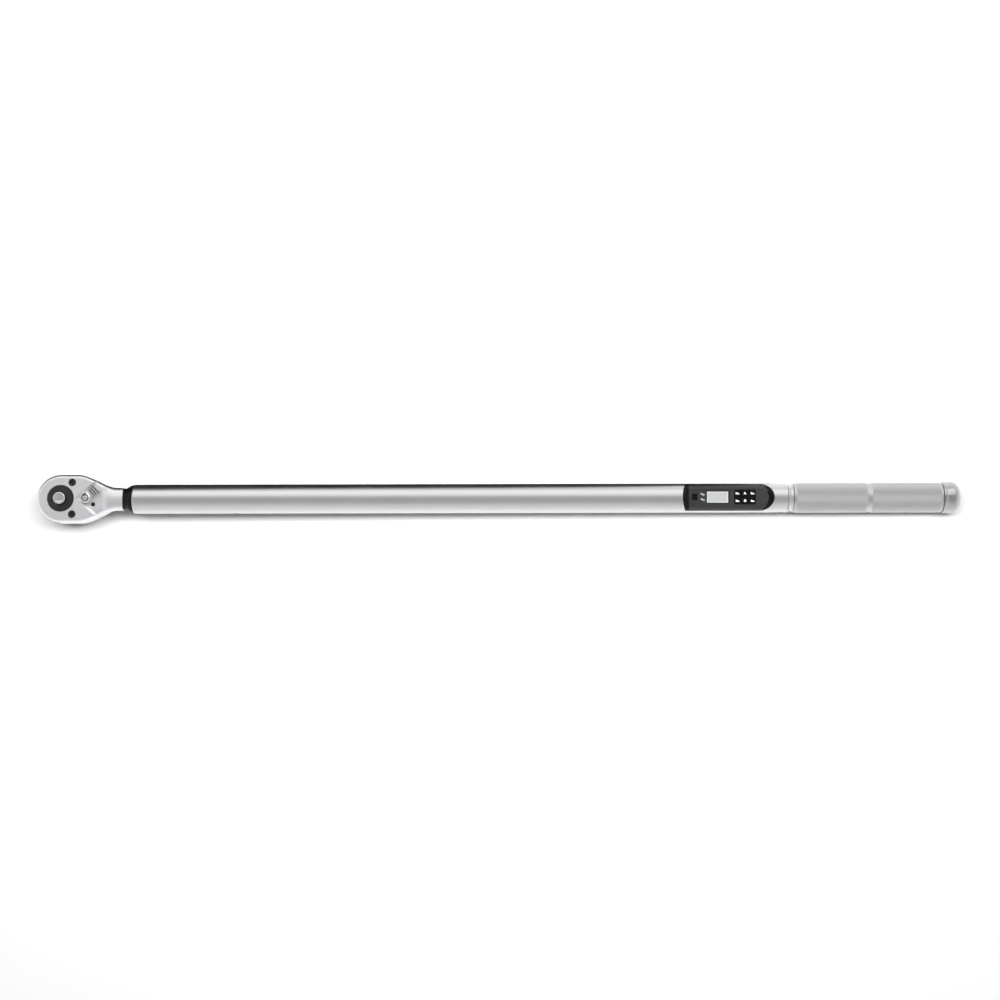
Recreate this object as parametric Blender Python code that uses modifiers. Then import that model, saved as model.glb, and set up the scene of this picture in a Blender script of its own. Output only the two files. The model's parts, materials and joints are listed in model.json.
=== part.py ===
"""A long digital torque wrench with a reversible ratchet head, built as separate pieces.

The frame: +X runs from the drive square towards the grip, +Z towards the side with the
lever, the display and the keys. The origin is the middle of the drive square's end face.
All sizes are in metres.
"""

import math

import bmesh
import bpy
from mathutils import Matrix, Vector

OBJECT_NAME = "torque_wrench"

# ---------------------------------------------------------------- driving sizes
FIT_GAP = 0.0003  # between pieces that touch, seat or run on each other
MESH_GAP = 0.00015  # between the pawl's teeth and the gear's

# Drive square, hub and gear
DRIVE_SQUARE = 0.01905  # across flats, the three-quarter-inch drive
SQUARE_LENGTH = 0.022
SQUARE_EDGE = 0.0012  # bevel on the square's edges
SHOULDER_HEIGHT = 0.002
SHOULDER_RIM = 0.00153  # of the lower hub beyond the square's corners
GEAR_RIM = 0.0052  # between the lower hub and the tooth roots
TOOTH_DEPTH = 0.0013
TEETH = 60
HUB_STEP = 0.00395  # of the upper hub inside the tooth roots
HUB_RISE = 0.001  # of the upper hub above the head's face
BALL_R = 0.003175
BALL_HEIGHT = 0.0115  # above the square's end
BALL_PROUD = 0.0011  # beyond the square's flat

# Release button
STEM_R = 0.004
BUTTON_R = 0.0078
BUTTON_RISE = 0.0075  # above the hub
BUTTON_TRAVEL = 0.0035
BUTTON_SKIRT = 0.0022  # of the button below the hub's face
SQUARE_END_WALL = 0.0035  # left below the stem's bore
RELEASE_SPRING_R = 0.0052
RELEASE_WIRE_R = 0.00045
RELEASE_SPRING_LENGTH = 0.0162

# Head
HEAD_THICK = 0.034
HEAD_RIM = 0.0085  # wall around the gear's cavity
CAVITY_GAP = 0.0008  # around the gear's teeth
ROOF_THICK = 0.0105
COVER_THICK = 0.0035
HEAD_BEVEL = 0.002
V_STEP = 0.0035  # depth of the face behind the V-shaped step
V_ANGLE = math.radians(39.5)  # of each leg of the V from the wrench's axis
V_TIP_GAP = 0.003  # from the upper hub to the V's tip
SHOULDER_LENGTH = 0.049  # of the curved shoulders between nose and neck
NECK_WIDTH = 0.0294
NECK_THICK = 0.021
NECK_LENGTH = 0.008
NECK_SLOPE = 0.009  # length of the slope from the head's faces to the neck

# Cover screws, M5 socket heads
SCREW_R = 0.0022
SCREW_HEAD_R = 0.00435
SCREW_HEAD_HEIGHT = 0.0045
SCREW_RECESS_R = 0.0047
SCREW_RECESS_DEPTH = 0.005
SCREW_WALL = 0.0007  # between a screw's hole and the cavity
SCREW_ANGLE = math.radians(54.2)
HEX_KEY = 0.004  # across the flats of the socket

# Pawl
PAWL_RELIEF = 0.0007  # of the pawl's web beyond the gear's tips
PAWL_WEB = 0.0041
PAWL_PIN_R = 0.00125
PAWL_PIN_DEPTH = 0.0035  # of its hole in the cavity's roof
PAWL_INNER_ANGLE = math.radians(24)  # where the toothed ends begin, about the gear's axis
PAWL_OUTER_ANGLE = math.radians(37)
PAWL_HEEL = 0.004  # of the pawl's outer corners beyond the gear's tips
PAWL_ROCK = math.radians(9)  # full swing from one end in mesh to the other
ROCK_ROOM = 0.0016
HORN_GAP = 0.0037  # from the lever's axis back to the horns of the pawl's cradle
HORN_HALF = 0.0095

# Reversing lever
LEVER_SHAFT_R = 0.005
LEVER_SWING = math.radians(42)  # to each side of the wrench's axis
LEVER_REACH = 0.0205
LEVER_HUB_R = 0.0066
LEVER_HEIGHT = 0.0083  # above the floor behind the V
LEVER_TIP_WIDTH = 0.0126
LEVER_LIFT = 0.0006  # of the arm above that floor
NOSE_REACH = 0.0014  # of the plunger beyond the shaft
PLUNGER_R = 0.0017
LEVER_BALL_R = 0.0022
LEVER_BALL_REACH = 0.0115
DETENT_HOLE_R = 0.0028
DETENT_HOLE_DEPTH = 0.0025
SEAL_R = 0.00055
CLIP_R = 0.0068
CLIP_THICK = 0.0008

# Tube, collar and what lies inside
TUBE_OD = 0.038
TUBE_WALL = 0.0025
TUBE_LENGTH = 0.852
COLLAR_LENGTH = 0.0127
COLLAR_FRONT_R = 0.0136
COLLAR_SPIGOT = 0.0055
BUSH_LENGTH = 0.017
SHANK_LENGTH = 0.049  # behind the neck
SHANK_WALL = 0.0032  # around the beam's spigot
SPIGOT_LENGTH = 0.028
BEAM_PIN_R = 0.0025
BEAM_LENGTH = 0.082  # of the bending part
BEAM_WIDTH = 0.014
BEAM_HEIGHT = 0.018
WAIST_WIDTH = 0.009
WAIST_LENGTH = 0.045
ANCHOR_LENGTH = 0.03
TUBE_PIN_R = 0.003
GAUGE_SIZE = (0.012, 0.0004, 0.007)
GAUGE_GAP = 0.0001
LEAD_R = 0.0015
LEAD_RISE = 0.03  # length over which the lead rises to its plug
BATTERY_LEAD_R = 0.0012
PLUG_HALF = 0.004
PLUG_LENGTH = 0.006
PLUG_DROP = 0.0035  # of the leads' ends below the board

# Display and key panel
PANEL_PLACE = 0.137  # of its front end from the tube's rear end
PANEL_LENGTH = 0.1186
PANEL_BOW = 0.004  # how far its front end bulges
PANEL_WRAP = math.radians(63.5)  # half of the tube's round that it covers
PANEL_SKIRT = 0.0015  # its lowest edge above the tube's axis
PANEL_SHELL = 0.0018
FLAT_DEPTH = 0.0035
FLAT_FRONT_SLOPE = 0.004
FLAT_REAR_SLOPE = 0.013
WINDOW_SIZE = (0.0273, 0.0142)  # clear opening
WINDOW_LIP = 0.0016
WINDOW_THICK = 0.001
WINDOW_PLACE = 0.0455  # of its middle from the panel's front end
LCD_MARGIN = 0.0018
LCD_THICK = 0.0036
KEY_SIZE = (0.008, 0.0086)
KEY_PITCH = (0.00975, 0.0098)
KEY_PLACE = 0.0808  # of the keys' middle from the panel's front end
KEY_FLANGE = 0.0006  # each side
KEY_FLANGE_THICK = 0.0009
KEY_RISE = 0.0008  # above the flat
KEY_TRAVEL = 0.0006
MAT_THICK = 0.0008
LIGHT_SIZE = (0.0056, 0.0026)
LIGHT_PLACE = 0.026
LIGHT_SPREAD = 0.0068
LIGHT_TILT = math.radians(-25)
BUZZER_PLACE = 0.0155
BUZZER_SLOT = (0.006, 0.0012)
BUZZER_R = 0.0045
BOARD_DEPTH = 0.0082  # of its upper face below the panel's flat
BOARD_THICK = 0.0016
BOARD_WIDTH = 0.0265
PANEL_END_WALL = 0.0035

# Grip, batteries and end cap
GRIP_OD = 0.039
GRIP_WALL = 0.0038
GRIP_LENGTH = 0.194
GRIP_BAND_PLACE = 0.098  # of the plain band from the grip's front end
GRIP_BAND_WIDTH = 0.006
GRIP_BAND_DEPTH = 0.0006
NECK_RING_LENGTH = 0.008
NECK_RING_STEP = 0.0008
ADAPTER_FRONT = 0.016
ADAPTER_REAR = 0.023
ADAPTER_BORE_R = 0.006
HANDLE_PIN_R = 0.0025
BATTERY_R = 0.00725
BATTERY_LENGTH = 0.0505
BATTERIES = 3
BATTERY_SLEEVE = 0.0014
CAP_OD = 0.041
CAP_LENGTH = 0.024
THREAD_PITCH = 0.0015
THREAD_TURNS = 5
THREAD_ROOM = 0.0016  # cut into the grip's bore for the thread
CAP_SEAL_R = 0.0009

# How round things are drawn
ROUND = 32
ROUND_SMALL = 16
WIRE_SIDES = 2  # bevel resolution of a wire
TINY = 0.000001
PAST = 0.01  # how far a cutter runs past what it cuts
SHARP = math.radians(35)

# ---------------------------------------------------------------- worked-out sizes
LOWER_HUB_R = DRIVE_SQUARE / math.sqrt(2) + SHOULDER_RIM
ROOT_R = LOWER_HUB_R + GEAR_RIM
TIP_R = ROOT_R + TOOTH_DEPTH
UPPER_HUB_R = ROOT_R - HUB_STEP
CAVITY_R = TIP_R + CAVITY_GAP

HEAD_HALF = CAVITY_R + HEAD_RIM
HEAD_LOW = SQUARE_LENGTH + SHOULDER_HEIGHT
HEAD_TOP = HEAD_LOW + HEAD_THICK
AXIS_Z = (HEAD_LOW + HEAD_TOP) / 2
COVER_TOP = HEAD_LOW + COVER_THICK
CAVITY_LOW = COVER_TOP + FIT_GAP
CAVITY_ROOF = HEAD_TOP - ROOF_THICK
GEAR_LOW = CAVITY_LOW + FIT_GAP
GEAR_TOP = CAVITY_ROOF - FIT_GAP
HUB_TOP = HEAD_TOP + HUB_RISE
FLOOR_Z = HEAD_TOP - V_STEP

SKIRT_Z = HUB_TOP - BUTTON_SKIRT
COUNTERBORE_Z = SKIRT_Z - BUTTON_TRAVEL - FIT_GAP
SPRING_FLOOR = SKIRT_Z - RELEASE_SPRING_LENGTH - FIT_GAP
SPRING_WELL_R = RELEASE_SPRING_R + RELEASE_WIRE_R + 2 * FIT_GAP
BALL_X = DRIVE_SQUARE / 2 + BALL_PROUD - BALL_R
LAND_R = BALL_X - BALL_R - FIT_GAP * 0.9  # of the stem where it holds the ball out

PAWL_PIN_X = TIP_R + PAWL_RELIEF + PAWL_WEB / 2
LEVER_X = TIP_R + PAWL_RELIEF + PAWL_WEB + FIT_GAP + NOSE_REACH + LEVER_SHAFT_R
POCKET_HALF = (TIP_R + PAWL_HEEL) * math.sin(PAWL_OUTER_ANGLE) + ROCK_ROOM
POCKET_START = CAVITY_R * math.cos(math.radians(44))
POCKET_END = LEVER_X - HORN_GAP + ROCK_ROOM
LEVER_WELL_R = CLIP_R + 0.0005
PLUNGER_Z = AXIS_Z - 0.003
SEAL_Z = FLOOR_Z - 0.0035
CLIP_Z = CAVITY_ROOF - 0.0009
ARM_LOW = FLOOR_Z + LEVER_LIFT
LEVER_TOP = FLOOR_Z + LEVER_HEIGHT

SHOULDER_START = LEVER_X - 0.011
NECK_START = SHOULDER_START + SHOULDER_LENGTH
NECK_END = NECK_START + NECK_LENGTH
COVER_END = LEVER_X + LEVER_WELL_R + 0.004
SCREW_CIRCLE = CAVITY_R + SCREW_WALL + SCREW_R + FIT_GAP
SCREW_SPOTS = [
    (SCREW_CIRCLE * math.cos(SCREW_ANGLE), side * SCREW_CIRCLE * math.sin(SCREW_ANGLE))
    for side in (1, -1)
]

TUBE_R = TUBE_OD / 2
TUBE_BORE_R = TUBE_R - TUBE_WALL
COLLAR_START = NECK_END + FIT_GAP
TUBE_START = COLLAR_START + COLLAR_LENGTH
TUBE_END = TUBE_START + TUBE_LENGTH
SHANK_R = NECK_THICK / 2 - FIT_GAP
SHANK_END = NECK_END + SHANK_LENGTH
SPIGOT_R = SHANK_R - SHANK_WALL
BUSH_START = TUBE_START + COLLAR_SPIGOT + FIT_GAP
BEAM_START = SHANK_END + FIT_GAP
BEAM_END = BEAM_START + BEAM_LENGTH
ANCHOR_END = BEAM_END + ANCHOR_LENGTH
BEAM_PIN_X = SHANK_END - SPIGOT_LENGTH / 3
WAIST_X = BEAM_START + BEAM_LENGTH / 2
TUBE_PIN_X = BEAM_END + ANCHOR_LENGTH / 2
LEAD_DROP = TUBE_BORE_R - LEAD_R - 0.0009  # of the gauges' lead below the tube's axis
INSIDE_R = TUBE_BORE_R - FIT_GAP  # of whatever fits in the tube

PANEL_X = TUBE_END - PANEL_PLACE
PANEL_HALF = TUBE_R * math.sin(PANEL_WRAP)
PANEL_END = PANEL_X + PANEL_LENGTH
FLAT_Z = AXIS_Z + TUBE_R - FLAT_DEPTH
SHELL_Z = FLAT_Z - PANEL_SHELL
BOARD_TOP = FLAT_Z - BOARD_DEPTH
BOARD_LOW = BOARD_TOP - BOARD_THICK
PANEL_ROOM_START = PANEL_X + PANEL_END_WALL + 0.002
PANEL_ROOM_END = PANEL_END - PANEL_HALF * 0.28 - PANEL_END_WALL
KEY_LOW = SHELL_Z - FIT_GAP - KEY_FLANGE_THICK
KEY_SPOTS = [
    (PANEL_X + KEY_PLACE + column * KEY_PITCH[0], row * KEY_PITCH[1])
    for row in (0.5, -0.5)
    for column in (-1, 0, 1)
]
BOARD_SCREW_SPOTS = [(PANEL_X + 0.0635, 0.0065), (PANEL_X + 0.0635, -0.0065)]
LIGHT_SPOTS = [(PANEL_X + LIGHT_PLACE, side * LIGHT_SPREAD / 2) for side in (1, -1)]

GRIP_R = GRIP_OD / 2
GRIP_BORE_R = GRIP_R - GRIP_WALL
GRIP_START = TUBE_END + NECK_RING_LENGTH
GRIP_END = GRIP_START + GRIP_LENGTH
ADAPTER_START = TUBE_END - ADAPTER_FRONT
ADAPTER_END = GRIP_START + ADAPTER_REAR
HANDLE_PIN_X = TUBE_END - ADAPTER_FRONT / 2
INSULATOR_THICK = 0.0018
SLEEVE_START = ADAPTER_END + INSULATOR_THICK + 2 * FIT_GAP
CONTACT_THICK = 0.0008
STACK_START = SLEEVE_START + CONTACT_THICK + 2 * FIT_GAP
STACK_END = STACK_START + BATTERIES * (BATTERY_LENGTH + FIT_GAP)
THREAD_LENGTH = THREAD_PITCH * THREAD_TURNS
THREAD_R = GRIP_BORE_R + THREAD_ROOM
SPIGOT_START = GRIP_END - THREAD_LENGTH - 0.002
CAP_START = GRIP_END + FIT_GAP
CAP_END = CAP_START + CAP_LENGTH
CAP_WELL_R = BATTERY_R + 0.0045
CONTACT_DISC_X = CAP_START - 0.0015

ALONG_X = (0.0, math.radians(90), 0.0)


# ---------------------------------------------------------------- scene and finishes
def clear_scene():
    for old in list(bpy.data.objects):
        bpy.data.objects.remove(old, do_unlink=True)


def new_collection(name):
    collection = bpy.data.collections.new(name)
    bpy.context.scene.collection.children.link(collection)
    return collection


clear_scene()
PARTS = new_collection(OBJECT_NAME)
CUTTERS = new_collection("cutters")

# Finish: colour, roughness, metallic
SATIN_CHROME = ((0.62, 0.62, 0.63), 0.32, 1.0)
SATIN_TUBE = ((0.66, 0.66, 0.67), 0.38, 1.0)
BRIGHT_CHROME = ((0.75, 0.75, 0.76), 0.12, 1.0)
KNURLED_STEEL = ((0.56, 0.56, 0.58), 0.42, 1.0)
BLACK_STEEL = ((0.03, 0.03, 0.033), 0.45, 0.6)
BLACK_PLASTIC = ((0.02, 0.02, 0.022), 0.5, 0.0)
PLAIN_STEEL = ((0.45, 0.45, 0.46), 0.35, 1.0)
SPRING_STEEL = ((0.35, 0.35, 0.36), 0.3, 1.0)
ALUMINIUM = ((0.7, 0.7, 0.71), 0.4, 1.0)
BRONZE = ((0.45, 0.28, 0.12), 0.45, 1.0)
RUBBER = ((0.015, 0.015, 0.015), 0.8, 0.0)
CLEAR = ((0.8, 0.82, 0.82), 0.05, 0.0)
LCD_GREY = ((0.62, 0.64, 0.62), 0.3, 0.0)
CIRCUIT_GREEN = ((0.02, 0.13, 0.06), 0.45, 0.0)
LIGHT_WHITE = ((0.7, 0.7, 0.68), 0.3, 0.0)
FOIL_AMBER = ((0.55, 0.3, 0.06), 0.4, 0.0)
BATTERY_GREY = ((0.12, 0.13, 0.15), 0.4, 0.0)
GOLD_CONTACT = ((0.75, 0.6, 0.3), 0.3, 1.0)


def give_finish(obj, finish):
    """The object's own material, with this finish."""
    colour, roughness, metallic = finish
    material = bpy.data.materials.new(obj.name)
    material.use_nodes = True
    shader = material.node_tree.nodes["Principled BSDF"]
    shader.inputs["Base Color"].default_value = (*colour, 1.0)
    shader.inputs["Roughness"].default_value = roughness
    shader.inputs["Metallic"].default_value = metallic
    obj.data.materials.clear()
    obj.data.materials.append(material)
    return obj


# ---------------------------------------------------------------- shape makers
def place(name, data, location=(0, 0, 0), rotation=(0, 0, 0)):
    obj = bpy.data.objects.new(name, data)
    obj.location = location
    obj.rotation_euler = rotation
    PARTS.objects.link(obj)
    return obj


def bake(source, name):
    """The source's evaluated shape as a welded mesh that faces out; the source is removed."""
    bpy.context.view_layer.update()
    graph = bpy.context.evaluated_depsgraph_get()
    mesh = bpy.data.meshes.new_from_object(source.evaluated_get(graph))
    shape = bmesh.new()
    shape.from_mesh(mesh)
    bmesh.ops.remove_doubles(shape, verts=shape.verts, dist=TINY)
    bmesh.ops.recalc_face_normals(shape, faces=shape.faces)
    shape.to_mesh(mesh)
    shape.free()
    mesh.name = name
    mesh.shade_smooth()
    mesh.set_sharp_from_angle(angle=SHARP)
    world = source.matrix_world.copy()
    bpy.data.objects.remove(source, do_unlink=True)
    solid = place(name, mesh)
    solid.matrix_world = world
    return solid


def turned(name, profile, at=(0, 0, 0), rotation=(0, 0, 0), ring=False, sides=ROUND):
    """A turned shape from (radius, height) points that run down its outer side.

    A ring's profile closes on itself; any other starts and ends on the axis.
    """
    mesh = bpy.data.meshes.new(name + "_profile")
    points = [(radius, 0.0, height) for radius, height in profile]
    edges = [(i, i + 1) for i in range(len(points) - 1)]
    if ring:
        edges.append((len(points) - 1, 0))
    mesh.from_pydata(points, edges, [])
    source = place(name + "_source", mesh, at, rotation)
    screw = source.modifiers.new("turn", "SCREW")
    screw.axis = "Z"
    screw.steps = sides
    screw.render_steps = sides
    screw.use_merge_vertices = True
    screw.merge_threshold = TINY
    return bake(source, name)


def turned_x(name, profile, ring=False, sides=ROUND, axis_z=AXIS_Z):
    """A shape turned about the tube's axis, from (radius, x) points, rear end first."""
    return turned(name, profile, (0, 0, axis_z), ALONG_X, ring, sides)


def tube_between(name, outer, inner, start, end, sides=ROUND):
    """A plain ring about the tube's axis, from start to end."""
    profile = [(inner, end), (outer, end), (outer, start), (inner, start)]
    return turned_x(name, profile, ring=True, sides=sides)


def outline_solid(name, outline, low, high):
    """A flat outline in the XY plane, made solid from height low to height high."""
    curve = bpy.data.curves.new(name + "_outline", "CURVE")
    curve.dimensions = "2D"
    curve.fill_mode = "BOTH"
    curve.extrude = (high - low) / 2
    spline = curve.splines.new("POLY")
    spline.points.add(len(outline) - 1)
    for point, (x, y) in zip(spline.points, outline):
        point.co = (x, y, 0.0, 1.0)
    spline.use_cyclic_u = True
    source = place(name + "_source", curve, (0, 0, (low + high) / 2))
    return bake(source, name)


def side_solid(name, outline, half_width):
    """An outline of (x, z) points, made solid to both sides of the XZ plane."""
    curve = bpy.data.curves.new(name + "_outline", "CURVE")
    curve.dimensions = "2D"
    curve.fill_mode = "BOTH"
    curve.extrude = half_width
    spline = curve.splines.new("POLY")
    spline.points.add(len(outline) - 1)
    for point, (x, z) in zip(spline.points, outline):
        point.co = (x, z, 0.0, 1.0)
    spline.use_cyclic_u = True
    source = place(name + "_source", curve, rotation=(math.radians(90), 0, 0))
    return bake(source, name)


def block(name, low, high, rounding=0.0):
    """A box between two corners; rounding bevels all its edges."""
    low = Vector(low)
    high = Vector(high)
    mesh = bpy.data.meshes.new(name)
    shape = bmesh.new()
    bmesh.ops.create_cube(shape, size=1.0)
    bmesh.ops.scale(shape, vec=high - low, verts=shape.verts)
    shape.to_mesh(mesh)
    shape.free()
    obj = place(name, mesh, (low + high) / 2)
    if rounding:
        bevel = obj.modifiers.new("edges", "BEVEL")
        bevel.width = rounding
        bevel.segments = 1
    return obj


def rod(name, radius, start, end, sides=ROUND_SMALL):
    """A plain cylinder between two points."""
    start = Vector(start)
    end = Vector(end)
    mesh = bpy.data.meshes.new(name)
    shape = bmesh.new()
    bmesh.ops.create_cone(
        shape,
        cap_ends=True,
        segments=sides,
        radius1=radius,
        radius2=radius,
        depth=(end - start).length,
    )
    shape.to_mesh(mesh)
    shape.free()
    mesh.shade_smooth()
    mesh.set_sharp_from_angle(angle=SHARP)
    obj = place(name, mesh, (start + end) / 2)
    obj.rotation_euler = (end - start).to_track_quat("Z", "Y").to_euler()
    return obj


def ball(name, radius, at):
    mesh = bpy.data.meshes.new(name)
    shape = bmesh.new()
    bmesh.ops.create_uvsphere(shape, u_segments=12, v_segments=8, radius=radius)
    shape.to_mesh(mesh)
    shape.free()
    mesh.shade_smooth()
    return place(name, mesh, at)


def wire(name, points, radius, at=(0, 0, 0), rotation=(0, 0, 0)):
    """A round wire or cable through these points, with closed ends."""
    curve = bpy.data.curves.new(name, "CURVE")
    curve.dimensions = "3D"
    curve.bevel_depth = radius
    curve.bevel_resolution = WIRE_SIDES
    curve.use_fill_caps = True
    spline = curve.splines.new("POLY")
    spline.points.add(len(points) - 1)
    for point, (x, y, z) in zip(spline.points, points):
        point.co = (x, y, z, 1.0)
    return place(name, curve, at, rotation)


def coil_points(radius, length, turns, end_radius=None, steps=8):
    """Points along a coil spring that rises by length, steps of them to a turn."""
    end_radius = radius if end_radius is None else end_radius
    count = int(turns * steps)
    points = []
    for i in range(count + 1):
        share = i / count
        angle = 2 * math.pi * turns * share
        here = radius + (end_radius - radius) * share
        points.append((here * math.cos(angle), here * math.sin(angle), length * share))
    return points


def combine(target, operation, tools):
    """Adds a Boolean for each tool, and puts the tools away as cutters."""
    for tool in tools:
        modifier = target.modifiers.new(tool.name, "BOOLEAN")
        modifier.operation = operation
        modifier.solver = "EXACT"
        modifier.object = tool
        if tool.name in PARTS.objects:
            PARTS.objects.unlink(tool)
            CUTTERS.objects.link(tool)
        tool.hide_render = True
        tool.display_type = "WIRE"
    return target


def cut(target, *tools):
    return combine(target, "DIFFERENCE", tools)


def join(target, *tools):
    return combine(target, "UNION", tools)


def keep(target, *tools):
    """Keeps only what lies inside every tool."""
    return combine(target, "INTERSECT", tools)


def arc(centre, radius, start, end, steps):
    """Points on an arc, from angle start to angle end."""
    angles = [start + (end - start) * i / steps for i in range(steps + 1)]
    return [
        (centre[0] + radius * math.cos(a), centre[1] + radius * math.sin(a)) for a in angles
    ]


def mirrored(upper):
    """A closed outline from its upper half, which runs from one end of the X axis to the other."""
    lower = [(x, -y) for x, y in reversed(upper) if abs(y) > TINY]
    return upper + lower


def ease(share):
    return share * share * (3 - 2 * share)


# ---------------------------------------------------------------- the head
def head_outline():
    """The nose's half round, then shoulders that ease into the neck."""
    upper = arc((0, 0), HEAD_HALF, math.pi, math.pi / 2, 12)
    for i in range(11):
        share = i / 10
        x = SHOULDER_START + SHOULDER_LENGTH * share
        upper.append((x, HEAD_HALF + (NECK_WIDTH / 2 - HEAD_HALF) * ease(share)))
    upper.append((NECK_END, NECK_WIDTH / 2))
    return mirrored(upper)


def head_side():
    """The head from the side: thick over the gear, sloping to the neck."""
    slope_start = NECK_START - 0.017
    half = HEAD_THICK / 2
    upper = [
        (-HEAD_HALF - PAST, half),
        (slope_start, half),
        (slope_start + NECK_SLOPE, NECK_THICK / 2),
        (NECK_END + PAST, NECK_THICK / 2),
    ]
    outline = upper + [(x, -z) for x, z in reversed(upper)]
    return [(x, AXIS_Z + z) for x, z in outline]


def v_step_outline():
    tip = UPPER_HUB_R + V_TIP_GAP
    far = NECK_END + 0.01
    out = (HEAD_HALF + PAST) / math.tan(V_ANGLE)
    upper = [(tip, 0.0), (tip + out, HEAD_HALF + PAST), (far, HEAD_HALF + PAST)]
    return mirrored(upper)


def lever_spots(reach):
    """The two places, at this reach from the lever's pivot, where the lever can stand."""
    return [
        (LEVER_X + reach * math.cos(LEVER_SWING), side * reach * math.sin(LEVER_SWING))
        for side in (1, -1)
    ]


def make_head_blank():
    """The forging before it is machined: head, slopes and shank."""
    head = outline_solid("head_body", head_outline(), HEAD_LOW, HEAD_TOP)
    bevel = head.modifiers.new("edges", "BEVEL")
    bevel.width = HEAD_BEVEL
    bevel.segments = 1
    bevel.limit_method = "ANGLE"
    bevel.angle_limit = math.radians(60)
    keep(head, side_solid("head_side", head_side(), HEAD_HALF + PAST))
    shank = rod(
        "shank",
        SHANK_R,
        (NECK_START + 0.003, 0, AXIS_Z),
        (SHANK_END, 0, AXIS_Z),
        ROUND,
    )
    join(head, shank)
    return head


def cut_ratchet_room(head):
    """Room for the cover, gear, pawl and lever, and the step in the top face."""
    cover_room = block(
        "cover_room",
        (-HEAD_HALF - PAST, -HEAD_HALF - PAST, HEAD_LOW - PAST),
        (COVER_END + FIT_GAP, HEAD_HALF + PAST, CAVITY_LOW),
    )
    v_step = outline_solid("v_step", v_step_outline(), FLOOR_Z, HEAD_TOP + PAST)
    cavity = rod("cavity", CAVITY_R, (0, 0, HEAD_LOW), (0, 0, CAVITY_ROOF), ROUND)
    hub_hole = rod(
        "hub_hole", UPPER_HUB_R + FIT_GAP, (0, 0, AXIS_Z), (0, 0, HEAD_TOP + PAST), ROUND
    )
    pocket = block(
        "pawl_pocket",
        (POCKET_START, -POCKET_HALF, HEAD_LOW),
        (POCKET_END, POCKET_HALF, CAVITY_ROOF),
    )
    well = rod("lever_well", LEVER_WELL_R, (LEVER_X, 0, HEAD_LOW), (LEVER_X, 0, CAVITY_ROOF))
    bore = rod(
        "lever_bore",
        LEVER_SHAFT_R + FIT_GAP,
        (LEVER_X, 0, AXIS_Z),
        (LEVER_X, 0, HEAD_TOP + PAST),
    )
    pin_hole = rod(
        "pawl_pin_roof_hole",
        PAWL_PIN_R + FIT_GAP,
        (PAWL_PIN_X, 0, AXIS_Z),
        (PAWL_PIN_X, 0, CAVITY_ROOF + PAWL_PIN_DEPTH),
        16,
    )
    cut(head, cover_room, v_step, cavity, hub_hole, pocket, well, bore, pin_hole)


def cut_top_holes(head):
    """The lever's two detent holes, and a recess and hole for each cover screw."""
    for i, (x, y) in enumerate(lever_spots(LEVER_BALL_REACH)):
        hole = rod(
            f"detent_hole_{i + 1}",
            DETENT_HOLE_R,
            (x, y, FLOOR_Z - DETENT_HOLE_DEPTH),
            (x, y, HEAD_TOP + PAST),
            16,
        )
        cut(head, hole)
    recess_low = HEAD_TOP - SCREW_RECESS_DEPTH
    for i, (x, y) in enumerate(SCREW_SPOTS):
        recess = rod(
            f"screw_recess_{i + 1}", SCREW_RECESS_R, (x, y, recess_low), (x, y, HEAD_TOP + PAST)
        )
        hole = rod(
            f"screw_hole_{i + 1}",
            SCREW_R + FIT_GAP,
            (x, y, HEAD_LOW),
            (x, y, HEAD_TOP),
            16,
        )
        cut(head, recess, hole)


def cut_shank_bores(head):
    """The socket for the beam's spigot, and the hole for the pin across it."""
    spigot_bore = rod(
        "spigot_bore",
        SPIGOT_R + FIT_GAP,
        (SHANK_END - SPIGOT_LENGTH, 0, AXIS_Z),
        (SHANK_END + PAST, 0, AXIS_Z),
    )
    shank_pin_hole = rod(
        "shank_pin_hole",
        BEAM_PIN_R + FIT_GAP,
        (BEAM_PIN_X, 0, AXIS_Z - TUBE_R),
        (BEAM_PIN_X, 0, AXIS_Z + TUBE_R),
        16,
    )
    cut(head, spigot_bore, shank_pin_hole)


def make_head_body():
    head = make_head_blank()
    cut_ratchet_room(head)
    cut_top_holes(head)
    cut_shank_bores(head)
    return give_finish(head, SATIN_CHROME)


def make_drive_cover():
    cover = outline_solid("drive_cover", head_outline(), HEAD_LOW, COVER_TOP)
    room = block(
        "cover_rear_trim",
        (COVER_END, -HEAD_HALF - PAST, HEAD_LOW - PAST),
        (NECK_END + PAST, HEAD_HALF + PAST, COVER_TOP + PAST),
    )
    hub_hole = rod(
        "cover_hub_hole",
        LOWER_HUB_R + FIT_GAP,
        (0, 0, HEAD_LOW - PAST),
        (0, 0, COVER_TOP + PAST),
        ROUND,
    )
    pin_hole = rod(
        "pawl_pin_cover_hole",
        PAWL_PIN_R + FIT_GAP,
        (PAWL_PIN_X, 0, HEAD_LOW + COVER_THICK / 3),
        (PAWL_PIN_X, 0, COVER_TOP + PAST),
        16,
    )
    cut(cover, room, hub_hole, pin_hole)
    for i, (x, y) in enumerate(SCREW_SPOTS):
        thread = rod(
            f"cover_thread_{i + 1}",
            SCREW_R + FIT_GAP,
            (x, y, HEAD_LOW - PAST),
            (x, y, COVER_TOP + PAST),
            16,
        )
        cut(cover, thread)
    return give_finish(cover, SATIN_CHROME)


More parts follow.
